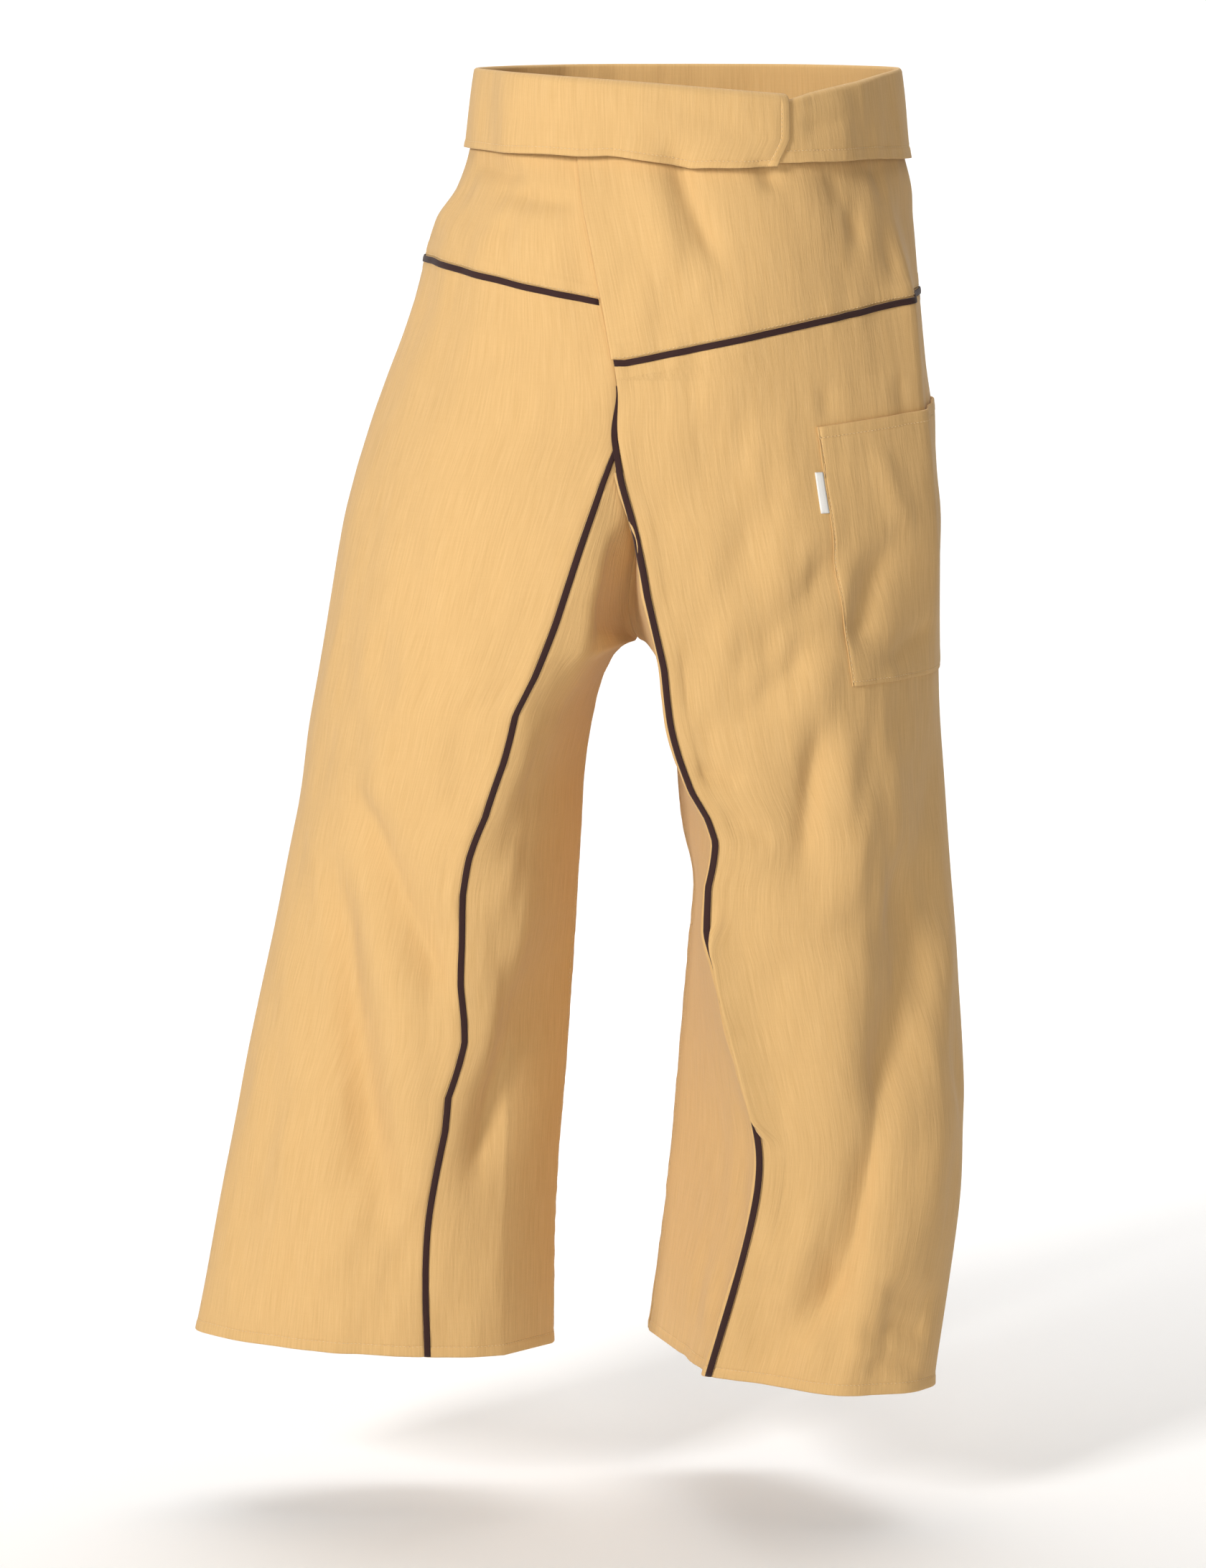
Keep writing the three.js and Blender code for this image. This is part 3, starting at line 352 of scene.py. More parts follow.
# Finer creases, seen only in the dressed model
CREASES = (
    *folds(Face.FRONT, (
        (-14, -44, -6, -96, 26, -150, 9, -7, 0.5), (-36, -48, -28, -100, -6, -158, 14, 4.5),
        (43, -62, 52, -76, 64, -90, 7, -4.5, 0.5), (96, -76, 106, -153, 110, -237, 18, 3),
        (97, -72, 104, -88, 107, -106, 5, -1.8, 0.4), (109, -104, 117, -116, 119, -134, 5, -1.7, 0.4),
        (127, -70, 142, -90, 138, -108, 5, -2, 0.5), (139, -112, 131, -132, 147, -162, 5, -2, 0.5),
        (104, -140, 113, -162, 108, -190, 6, -1.5, 0.3),
        (140, -60, 152, -236, 184, -470, 24, 13, 0.85, -0.5), (112, -120, 126, -330, 148, -520, 26, 3),
        (-160, -72, -140, -81, -112, -77, 8, -4, 0.4), (-146, -88, -104, -101, -76, -96, 9, -3.6, 0.3),
        (-182, -106, -150, -118, -118, -116, 9, -2.6, 0.3), (-69, -179, -114, -198, -173, -224, 14, -2.4),
        (-274, -560, -258, -700, -222, -880, 20, -11, 0.25, -0.25),
        (-284, -560, -274, -680, -250, -850, 9, 3.5, 0.5),
        (-256, -512, -222, -606, -166, -706, 17, -11, 0.3, -0.3),
        (-226, -520, -190, -590, -158, -650, 12, 3.5, 0.2), (-238, -600, -214, -720, -186, -880, 22, 5),
        (-88, -625, -124, -742, -176, -846, 20, -11, 0.25, -0.2),
        (-110, -600, -138, -690, -160, -770, 16, 3), (-72, -448, -98, -500, -120, -560, 16, -5, 0.1),
        (-47, -322, -50, -372, -68, -428, 8, -10, 0.4), (-60, -350, -72, -400, -88, -450, 9, 3),
        (116, -340, 78, -390, 36, -444, 16, -6, 0.2), (108, -396, 82, -434, 26, -480, 15, -5.5, 0.2),
        (102, -462, 88, -530, 84, -600, 13, -6, 0.3, 0.2),
        (152, -604, 100, -648, 44, -680, 22, -3, 0.1, 0.2),
        (192, -462, 172, -640, 150, -806, 20, -7, 0.3, -0.3),
        (158, -650, 152, -852, 74, -948, 20, -9, 0.3, -0.3), (196, -560, 190, -720, 184, -900, 12, 5),
        (110, -836, 92, -896, 62, -930, 14, 4), (132, -966, 152, -956, 180, -972, 8, -4, 0.3),
        (150, -926, 168, -944, 184, -940, 9, -3.5, 0.3), (4, -226, 6, -250, 8, -276, 4, -1.2, 0.4),
        (96, -226, 99, -240, 98, -256, 5, -2, 0.4), (142, -222, 146, -240, 148, -262, 5, -2, 0.4),
        (73, -26, 88, -20, 110, -14, 4.5, -1.8, 0.3), (73, -45, 92, -43, 112, -32, 6, -1.8, 0.2),
        (113, -10, 114, -35, 112, -62, 3.5, -0.9, 0.3), (-146, -34, -80, -42, -14, -36, 9, -1.4),
        (-34, -20, 8, -34, 56, -54, 9, -1.5), (6, -257, 16, -322, 9, -371, 10, -1.6, 0.3),
        (34, -262, 42, -330, 38, -410, 12, -1.5), (144, -338, 128, -385, 124, -430, 11, -7, 0.4, -0.2),
        (130, -272, 138, -304, 153, -346, 8, 4, 0.4), (178, -410, 160, -420, 138, -446, 9, -4, 0.3),
        (-70, -405, -56, -368, -44, -330, 9, -3.5, 0.3), (-199, -474, -164, -466, -130, -457, 9, -2.4, 0.4),
        (-150, -520, -170, -530, -196, -545, 10, -1.8, 0.3), (4, -506, 22, -514, 42, -518, 8, -4, 0.5),
        (20, -540, 44, -556, 66, -562, 10, -3, 0.3), (-4, -414, -3, -440, 2, -472, 5, -2.6, 0.4),
        (14, -470, 8, -500, 16, -530, 8, -2.4, 0.4), (-137, -640, -134, -680, -127, -718, 4.5, -0.9, 0.6),
        (-128, -645, -123, -685, -117, -722, 4.5, -0.8, 0.6),
        (-192, -640, -190, -690, -196, -745, 7, -1.6, 0.4), (83, -948, 96, -915, 123, -880, 12, -4, 0.4),
        (40, -900, 66, -880, 96, -856, 14, 2), (-300, -640, -296, -740, -300, -850, 12, 2.4),
        (-222, -700, -214, -790, -200, -870, 12, 2),
    )),
    *folds(Face.BACK, (
        (-150, -190, -100, -230, -30, -250, 12, -2.6, 0.3), (140, -190, 96, -240, 30, -262, 12, -2.4, 0.3),
        (-120, -70, -112, -110, -96, -150, 9, -2.6, 0.4), (-40, -66, -34, -104, -36, -160, 9, -2, 0.3),
        (52, -66, 60, -112, 54, -170, 10, -2.6, 0.4), (120, -70, 112, -118, 118, -166, 8, -2, 0.3),
        (-100, -330, -84, -380, -60, -420, 12, -3.4, 0.2), (40, -330, 22, -380, -6, -418, 12, -3.4, 0.2),
        (-200, -520, -170, -545, -130, -560, 12, -2.6, 0.3),
        (60, -520, 100, -542, 140, -550, 12, -2.6, 0.3), (-280, -600, -270, -720, -276, -860, 14, 2.4),
        (40, -640, 34, -760, 20, -900, 14, 2.2),
    )),
)


def waves() -> tuple[Array, Array, Array]:
    """Directions, phases and heights of the ripples that crumple the whole cloth a little."""
    rng = np.random.default_rng(11)
    count = 26
    period = rng.uniform(16, 60, count)
    lean = rng.normal(0, 0.32, count)
    around = rng.uniform(0, 2 * np.pi, count)
    level = np.cos(lean) / period
    directions = [np.cos(around) * level, np.sin(around) * level, np.sin(lean) / period]
    return 2 * np.pi * np.stack(directions, -1), rng.uniform(0, 2 * np.pi, count), 0.0075 * period


WAVES = waves()


def ripple(p: Array) -> Array:
    """Small uneven ripples at points of the cloth, in millimetres."""
    vectors, phases, heights = WAVES
    total = np.zeros(p.shape[:-1])
    for vector, phase, height in zip(vectors, phases, heights):
        total += height * np.sin(p @ vector + phase)
    patch = 0.6 + 0.4 * np.sin(p @ np.array([0.021, 0.017, 0.013]) + 1.0)
    return total * patch


def fold_lift(front: Array, p: Array, fine: bool) -> Array:
    """How far the folds lift the cloth.

    Args:
        front: where the points are on the front rather than the back.
        p: the points.
        fine: whether the fine creases count too.
    Returns:
        the lift in millimetres.
    """
    lift = np.zeros(p.shape[:-1])
    x, z = p[..., 0], p[..., 2]
    for fold in FOLDS + (CREASES if fine else ()):
        xs, zs = fold.line[0::2], fold.line[1::2]
        room = fold.wide * 3
        near = (x > min(xs) - room) & (x < max(xs) + room) & (z > min(zs) - room) & (z < max(zs) + room)
        near &= front == (fold.face is Face.FRONT)
        if near.any():
            lift[near] += fold.lift(x[near], z[near])
    return lift


def curve(a: Array, b: Array, c: Array, d: Array, t: Array) -> Array:
    """Points of the smooth curve through a, b, c and d, at shares t between b and c."""
    def knot(p: Array, q: Array) -> Array:
        """Root of the distance between points, which keeps the curve from looping."""
        return np.maximum(np.sqrt(np.linalg.norm(p - q, axis=-1, keepdims=True)), 1e-3)

    ab, bc, cd = knot(a, b), knot(b, c), knot(c, d)
    first = (b - a) / ab - (c - a) / (ab + bc) + (c - b) / bc
    second = (c - b) / bc - (d - b) / (bc + cd) + (d - c) / cd
    t = t[..., None]
    lean = bc * t * (1 - t) * ((1 - t) * first - t * second)
    return mix(b, c, t * t * (3 - 2 * t)) + lean


def path(guides: Array, place: Array) -> Array:
    """Points of the curve through all guides but the first and last, counted in guides."""
    k = np.clip(np.floor(place).astype(int), 0, guides.shape[-2] - 4)

    def pick(i: int) -> Array:
        """The guide i places past each point's own."""
        return np.take_along_axis(guides, (k + i)[..., None, None], axis=-2)[..., 0, :]

    return curve(pick(0), pick(1), pick(2), pick(3), place - k)


def lifted(guides: Array, place: Array, turn: int, lift: Callable[[Array], Array]) -> Array:
    """A path's points moved out sideways in plan by lift(points)."""
    step = 0.004
    here = path(guides, place)
    before = path(guides, np.maximum(place - step, 0))
    after = path(guides, np.minimum(place + step, guides.shape[-2] - 3.0))
    along = after - before
    outward = xyz(-turn * along[..., 1], turn * along[..., 0], 0.0)
    return here + outward / length_of(outward) * lift(here)[..., None]


def section(side: Side, z: Array) -> dict[str, Array]:
    """The plan points that a side's outer cloth runs through at heights z."""
    at = {name: SECTIONS[side].at(name, z) for name in SECTION[1:]}
    heights, moves = zip(*WANDER[side][::-1])
    at["frontX"] = at["frontX"] + np.interp(z, heights, moves)
    return {
        "front": xyz(at["frontX"], at["frontY"], z),
        "front_mid": xyz(mix(at["frontX"], at["outX"], MID_POINT), at["frontMid"], z),
        "out": xyz(at["outX"], at["outY"], z),
        "back_mid": xyz(mix(at["backX"], at["outX"], MID_POINT), at["backMid"], z),
        "back": xyz(at["backX"], at["backY"], z),
    }


def other_side(side: Side) -> Side:
    """The opposite side."""
    return Side.LEFT if side is Side.RIGHT else Side.RIGHT


def outer_guides(side: Side, z: Array) -> Array:
    """Guides of a side's outer curve at heights z, from the front seam to the back seam."""
    here, other = section(side, z), section(other_side(side), z)
    trunk = smooth(*TRUNK_FADE, z)[..., None]

    def past(seam: Array, middle: Array, turn: float) -> Array:
        """A guide beyond a seam, on the far side of it from the middle."""
        return xyz(mix(seam[..., 0], middle[..., 0], -0.5), seam[..., 1] + turn, z)

    ahead = past(here["front"], here["front_mid"], 8 if side is Side.RIGHT else 1)
    beyond = past(here["back"], here["back_mid"], -8)
    return np.stack([
        mix(ahead, other["front_mid"], trunk), here["front"], here["front_mid"], here["out"],
        here["back_mid"], here["back"], mix(beyond, other["back_mid"], trunk),
    ], axis=-2)


def outer_point(side: Side, s, z, offset=0.0, fine: bool = True) -> Array:
    """Points of a side's outer cloth. Share s runs from the front seam to the back seam."""
    s, z, offset = np.broadcast_arrays(np.asarray(s, float), np.asarray(z, float), np.asarray(offset, float))
    guides = outer_guides(side, z)
    out_y = guides[..., 3, 1]

    def lift(p: Array) -> Array:
        """How far points are moved out."""
        ahead = np.clip(np.abs(p[..., 1] - out_y) / 30, 0, 1)
        return offset + ahead * fold_lift(s < 0.5, p, fine) + (mix(0.4, 1, ahead) * ripple(p) if fine else 0)

    return lifted(guides, 4 * s, 1 if side is Side.RIGHT else -1, lift)


def tuck_reach(z: Array) -> Array:
    """Where the hidden fold of the tuck lies along X at heights z."""
    left = np.clip((z - TUCK_END) / (BAND_SEAM - TUCK_END), 0, 1)
    return SECTIONS[Side.LEFT].at("frontX", z) + np.maximum(TUCK_WIDTH * left ** 0.6, 5)


def crossover_lift(x: Array, z: Array) -> Array:
    """Lift of the crossing left side over the two plies of the tuck."""
    end = tuck_reach(z) + 14
    share = np.clip((x - end) / CROSSOVER_EASE, 0, 1)
    return 2 * PLY * smooth(*OVERLAP_FADE, z) * (1 - share * share * (3 - 2 * share))


def side_point(side: Side, s, z, offset=0.0, fine: bool = True) -> Array:
    """Points of a side's cloth, the left one lifted where it crosses over the tuck."""
    s, z = np.broadcast_arrays(np.asarray(s, float), np.asarray(z, float))
    if side is Side.RIGHT:
        return outer_point(side, s, z, offset, fine)
    x = outer_point(side, s, z, 0.0, False)[..., 0]
    under = np.where(s < 0.5, crossover_lift(x, z), 0)
    return outer_point(side, s, z, offset + under, fine)


def share_at_x(x: Array, z: Array) -> Array:
    """The share of the left front at which its curve reaches x, for each height."""
    grid = np.linspace(0, 0.5, 161)
    flat_x, flat_z = np.broadcast_arrays(np.asarray(x, float), np.asarray(z, float))
    shape = flat_x.shape
    flat_x, flat_z = flat_x.ravel(), flat_z.ravel()
    along_x = outer_point(Side.LEFT, grid[None, :], flat_z[:, None], 0.0, False)[..., 0]
    reached = np.maximum.accumulate(along_x, axis=1)
    return np.array([np.interp(a, row, grid) for a, row in zip(flat_x, reached)]).reshape(shape)


def share_past(s: Array, z: Array, distance: float) -> Array:
    """The share of the left side that lies a distance along the cloth past share s."""
    grid = np.linspace(0, 1, 321)
    points = outer_point(Side.LEFT, grid[None, :], z[:, None], 0.0, False)
    run = distances_in(points)
    return np.array([np.interp(np.interp(a, grid, row) + distance, row, grid) for a, row in zip(s, run)])


def spans(bounds: Sequence[Array], counts: Sequence[int]) -> Array:
    """Shares that run through the bounds of each row in even steps.

    Args:
        bounds: one array a bound, with a value for each row.
        counts: how many steps lie between neighbouring bounds.
    Returns:
        an array of rows by columns.
    """
    parts = [bounds[0][:, None]]
    for low, high, count in zip(bounds[:-1], bounds[1:], counts):
        parts.append(mix(low[:, None], high[:, None], np.arange(1, count + 1)[None, :] / count))
    return np.concatenate(parts, axis=1)


def column_shares(side: Side, z: Array) -> Array:
    """Shares of the columns round a side at each height. On the left, two follow the pocket's edges."""
    z = np.atleast_1d(np.asarray(z, float))
    zero, one = np.zeros(len(z)), np.ones(len(z))
    if side is Side.RIGHT:
        return spans([zero, one], [RIGHT_COLUMNS])
    level = np.clip(z, POCKET_BOTTOM, POCKET_TOP)
    edge = mix(POCKET_TOP_X, POCKET_BOTTOM_X, (POCKET_TOP - level) / (POCKET_TOP - POCKET_BOTTOM))
    first = share_at_x(edge, level)
    second = share_past(first, level, POCKET_WIDE)
    return spans([zero, first, second, one], LEFT_COLUMNS)


def yoke_seam(side: Side) -> Array:
    """Height of the seam between yoke and leg, for each column of a side."""
    front, out = (-166, -141.5) if side is Side.RIGHT else (-209, -165)
    edge, side_x = (-63, -196) if side is Side.RIGHT else (-52, 172)
    s = column_shares(side, -180.0)[0]
    x = outer_point(side, s, -180.0, 0.0, False)[..., 0]
    start, height = np.where(s < 0.5, edge, -6), np.where(s < 0.5, front, -185)
    return mix(height, out, np.clip((x - start) / (side_x - start), 0, 1))


def hem_height(side: Side, p: Array) -> Array:
    """Height of a leg's hem at plan points."""
    x, z, along_x, along_y = HEMS[side]
    return z + along_x * (p[..., 0] - x) + along_y * p[..., 1]


def divided(heights: Sequence[float], step: float) -> Array:
    """Heights with even steps between the given ones, none longer than step."""
    parts = [np.array([heights[0]], float)]
    for high, low in zip(heights[:-1], heights[1:]):
        count = max(1, math.ceil(abs(high - low) / step))
        parts.append(mix(high, low, np.arange(1, count + 1) / count))
    return np.concatenate(parts)


ROWS = divided(KEY_ROWS, ROW_STEP)
ROWS_ABOVE = 18
ROWS_BELOW = 18


def leg_panel(side: Side) -> Array:
    """Points of an outer leg panel, from the yoke seam to the hem and from front seam to back seam."""
    top = yoke_seam(side)
    low = column_shares(side, -965.0)[0]
    foot = hem_height(side, side_point(side, low, -965.0, 0.0, False))
    above = [mix(top, ROWS[0], k / ROWS_ABOVE) for k in range(ROWS_ABOVE)]
    level = [np.full(len(top), z) for z in ROWS]
    below = [mix(ROWS[-1], foot, (k + 1) / ROWS_BELOW) for k in range(ROWS_BELOW)]
    heights = np.array(above + level + below)
    even = np.concatenate([np.full(ROWS_ABOVE, ROWS[0]), ROWS, np.full(ROWS_BELOW, ROWS[-1])])
    return side_point(side, column_shares(side, even), heights)


def ply_point(f: Array, offset: Array, z: Array) -> Array:
    """Points of the tuck's plies. Share f runs from the crossing edge to the hidden fold."""
    return outer_point(Side.LEFT, f * share_at_x(tuck_reach(z), z), z, offset)


def edge_point(distance, offset, z: Array) -> Array:
    """Points a distance from the crossing edge; a negative one stands out of it."""
    distance, offset, z = np.broadcast_arrays(*(np.asarray(value, float) for value in (distance, offset, z)))
    start = outer_point(Side.LEFT, 0.0, z, 0.0, False)
    near = np.linalg.norm(start - outer_point(Side.LEFT, 0.02, z, 0.0, False), axis=-1)
    p = outer_point(Side.LEFT, np.maximum(distance, 0) * 0.02 / near, z, offset)
    return p + xyz(np.minimum(distance, 0), 0.0, 0.0)


def tuck_plies() -> tuple[Array, Array]:
    """Shares and plies of the columns through the tuck, from under the crossing edge to the fold and back."""
    near = LAP_HEM_SHARE + np.array([-0.012, -0.006, -0.002, 0.002, 0.006, 0.012])
    run = np.concatenate([np.linspace(0.05, 0.89, 20), near, [0.965]])
    turn = np.linspace(0, np.pi, 9)[1:-1]
    shares = np.concatenate([run, 0.972 + 0.013 * np.sin(turn), run[::-1]])
    plies = np.concatenate([0 * run, 0.5 - 0.5 * np.cos(turn), 1 + 0 * run])
    return shares, plies


def edge_turn() -> tuple[Array, Array]:
    """Distances and plies of the columns that fold under at the crossing edge."""
    turn = np.linspace(0, np.pi, 9)[1:-1]
    distances = np.concatenate([[YOKE_FACING, 4.0, 1.0], -1.2 * np.sin(turn)])
    plies = np.concatenate([[1.0, 1.0, 1.0], 1.5 - 0.5 * np.cos(turn)])
    return distances, plies


def yoke_rows(bottom: Array) -> Array:
    """Heights of a yoke's rows above each column's seam."""
    return mix(BAND_SEAM, bottom[None, :], np.linspace(0, 1, 36)[:, None])


def tuck_seam(f: Array, ply: Array) -> Array:
    """Height of the yoke seam along the hidden plies."""
    return mix(np.where(ply < 0.75, TUCK_FRONT, TUCK_EDGE), TUCK_FOLD, f)


def yoke_right() -> Array:
    """Points of the right yoke: from the facing round the tuck, then to the centre back."""
    shares, plies = tuck_plies()
    facing = edge_point(YOKE_FACING, PLY, yoke_rows(np.array([TUCK_EDGE])))
    tuck_z = yoke_rows(tuck_seam(shares, plies))
    tuck = ply_point(shares[None, :], plies[None, :] * PLY, tuck_z)
    body = outer_point(Side.RIGHT, column_shares(Side.RIGHT, 0.0), yoke_rows(yoke_seam(Side.RIGHT)))
    return np.concatenate([facing, tuck[:, ::-1], body], axis=1)


def yoke_left() -> Array:
    """Points of the left yoke: folded under at the crossing edge and round to the centre back."""
    distances, plies = edge_turn()
    edge = edge_point(distances[None, :], plies[None, :] * PLY, yoke_rows(np.full(len(distances), TUCK_EDGE)))
    body = side_point(Side.LEFT, column_shares(Side.LEFT, -225.0), yoke_rows(yoke_seam(Side.LEFT)))
    return np.concatenate([edge, body], axis=1)


def leg_tuck() -> Array:
    """Points of the right leg's cloth inside the tuck."""
    shares, plies = tuck_plies()
    ends = np.array([YOKE_FACING, 1.0])
    foot = TUCK_END + 8
    rows = np.linspace(0, 1, 14)[:, None]
    z = mix(tuck_seam(shares, plies)[None, :] - 0.3, foot, rows)
    start = outer_point(Side.RIGHT, np.array([[0.012]]), mix(TUCK_FRONT - 0.3, foot, rows), -0.6)
    tuck = ply_point(shares[None, :], plies[None, :] * PLY, z)
    end = edge_point(ends[None, :], PLY, mix(TUCK_EDGE - 0.3, foot, rows))
    return np.concatenate([start, tuck, end], axis=1)


def seam_point(rows: Array, share: Array) -> Array:
    """Points on a seam table, from 0 at its first row to 1 at its last."""
    last = len(rows) - 1
    k = np.clip(np.floor(share * last).astype(int), 0, last - 1)
    a, b, c, d = (rows[np.clip(k + i, 0, last)] for i in (-1, 0, 1, 2))
    return curve(a, b, c, d, share * last - k)


def gusset_end(side: Side, face: Face, z: Array) -> tuple[Array, Array, Array]:
    """Where a gusset's rows end on the crotch seam or inseam.

    Args:
        z: heights of the rows at the piped seam.
    Returns:
        the end points, the slope of the crotch seam there, and which rows end on it.
    """
    rows = CROTCH_SEAM[face]
    on_seam = z >= CROTCH_ROW
    share = np.clip((z - rows[0, 2]) / (CROTCH_ROW - rows[0, 2]), 0, 1) ** 1.3
    upper = seam_point(rows, share)
    slope = seam_point(rows, np.minimum(share + 0.01, 1)) - seam_point(rows, np.maximum(share - 0.01, 0))
    down = np.clip((z - CROTCH_ROW) / (INSEAM_EVEN - CROTCH_ROW), 0, 1)
    height = np.where(z > INSEAM_EVEN, mix(CROTCH[2], INSEAM_EVEN, down ** 1.35), z)
    lower = xyz(INSEAM[side].at("x", height), INSEAM[side].at("y", height), height)
    return np.where(on_seam[:, None], upper, lower), slope, on_seam


def gusset_guides(side: Side, face: Face, seam: Array, end: Array, slope: Array, on_seam: Array) -> Array:
    """Guides of a gusset's rows, from the piped seam to the crotch seam or inseam."""
    toward = 1 if side is Side.RIGHT else -1
    depth = -1 if face is Face.FRONT else 1
    at_crotch = 0.5 * smooth(-412, -427, end[:, 2])
    in_leg = np.where(on_seam, at_crotch, mix(0.5, 1, smooth(-424, -440, end[:, 2])))
    gap = np.abs(end - seam)
    radius = np.minimum(np.minimum(4.5, 0.3 * gap[:, 0]), 0.8 + 0.35 * gap[:, 1])
    from_slope = xyz(0.0, -depth * slope[:, 2], depth * slope[:, 1])
    level = np.broadcast_to(np.array([0.0, depth, -1.0]), from_slope.shape)
    outward = np.where(on_seam[:, None], from_slope / length_of(from_slope), level / math.sqrt(2))
    step = xyz(-toward * radius, outward[:, 1] * radius, outward[:, 2] * radius)
    step = mix(step, np.array([-toward * 1.2, depth * 9.0, 0.0]), in_leg[:, None])
    mirrored = step * np.array([-1.0, 1.0, 1.0])
    approach = end + step
    beyond = end + mix(mirrored, -step, in_leg[:, None])
    z = seam[:, 2]
    if side is Side.LEFT and face is Face.FRONT:
        low = smooth(-330, -480, z)
        edge = xyz(seam[:, 0] - 6, seam[:, 1] + mix(1, 3.5, low), z)
        behind = edge + xyz(0.8, mix(1.1, 9, low), 0.0)
        middle = mix(behind, approach, 0.5) - xyz(0.0, 2.2 * (1 - smooth(-285, -330, z)), 0.0)
        ahead = seam + np.array([10.0, 0.0, 0.0])
        return np.stack([ahead, seam, edge, behind, middle, approach, end, beyond], axis=1)
    deeper = 0.14 * smooth(-345, -315, z)

    def across(x: float, y) -> Array:
        """Points shares x along and y deep of the way from the seam to the end."""
        return xyz(mix(seam[:, 0], end[:, 0], x), mix(seam[:, 1], end[:, 1], y), mix(z, end[:, 2], x))

    return np.stack([
        across(-0.4, 0.1), seam, across(0.42, 0.1 + deeper), across(0.8, 0.4 + deeper), approach, end, beyond,
    ], axis=1)


def gusset(side: Side, face: Face, panel: Array) -> Array:
    """Points of a gusset, from the leg panel's edge to the crotch seam or inseam."""
    seams = panel[:, 0] if face is Face.FRONT else panel[:, -1]
    top = int(np.argmin(np.abs(seams[:, 2] - GUSSET_TOPS[side, face])))
    seam = seams[top:]
    z = seam[:, 2]
    end, slope, on_seam = gusset_end(side, face, z)
    guides = gusset_guides(side, face, seam, end, slope, on_seam)
    seat = np.minimum((PIPING_WIDTH + 0.5) / np.linalg.norm(guides[:, 2] - seam, axis=-1), 0.85)
    marks = (1, 2, 3, 4, 5) if side is Side.LEFT and face is Face.FRONT else (1, 2, 3, 4)
    bounds = [np.zeros(len(z)), seat] + [np.full(len(z), float(mark)) for mark in marks]
    place = spans(bounds, [3] + [8, 10, 10, 8, 6][: len(marks)])
    turn = (-1 if side is Side.RIGHT else 1) * (1 if face is Face.FRONT else -1)

    def lift(p: Array) -> Array:
        """How far points are moved out."""
        opened = np.minimum(place, 1) * np.clip(np.abs(p[..., 1] - end[:, None, 1]) / 30, 0, 1)
        return opened * (fold_lift(np.full(place.shape, face is Face.FRONT), p, True) + ripple(p))

    grid = lifted(guides[:, None], place, turn, lift)
    grid[:, 0] = seam
    grid[:, -1] = end
    last = seam[-1, 2]
    share = np.clip((z - ROWS[-1]) / (last - ROWS[-1]), 0, 1)[:, None]
    grid[..., 2] = np.where(share > 0, mix(ROWS[-1], hem_height(side, grid), share), grid[..., 2])
    return grid


def band_top(p: Array) -> Array:
    """Height of the fold along the top of the waistband, which dips at the front tuck."""
    before = np.clip((p[..., 0] + BAND_SIDE_X) / (DIP_X + BAND_SIDE_X), 0, 1) ** 1.3
    after = (BAND_SIDE_X - p[..., 0]) / (BAND_SIDE_X - DIP_X)
    share = np.clip(np.where(p[..., 0] < DIP_X, before, after), 0, 1)
    return np.where(p[..., 1] > 0, BAND_TOP, mix(BAND_TOP, DIP_Z, share))


FLAP_EDGE = (
    (-166, -61.5), (-120, -62.6), (-78, -64), (-56, -63.4), (-38, -66), (-14, -68.4), (6, -72.6), (30, -72),
    (72, -71), (74, -68.8), (110, -68), (158, -69.6),
)


def flap_edge(p: Array) -> Array:
    """Height of the flap's lower edge at plan points."""
    x = p[..., 0]
    front = np.interp(x, [a for a, _ in FLAP_EDGE], [b for _, b in FLAP_EDGE]) + 0.35 * np.sin(x / 9)
    back = mix(-62, -69, smooth(-160, 60, x)) + 1.2 * np.sin(x / 31)
    return np.where(p[..., 1] > 0, back, front)


def knot_lift(p: Array) -> Array:
    """Lift of the flap over the knot of the tie."""
    return np.where(p[..., 1] < 0, KNOT_LIFT * np.exp(-(((p[..., 0] - KNOT_X) / KNOT_SPREAD) ** 2)), 0)


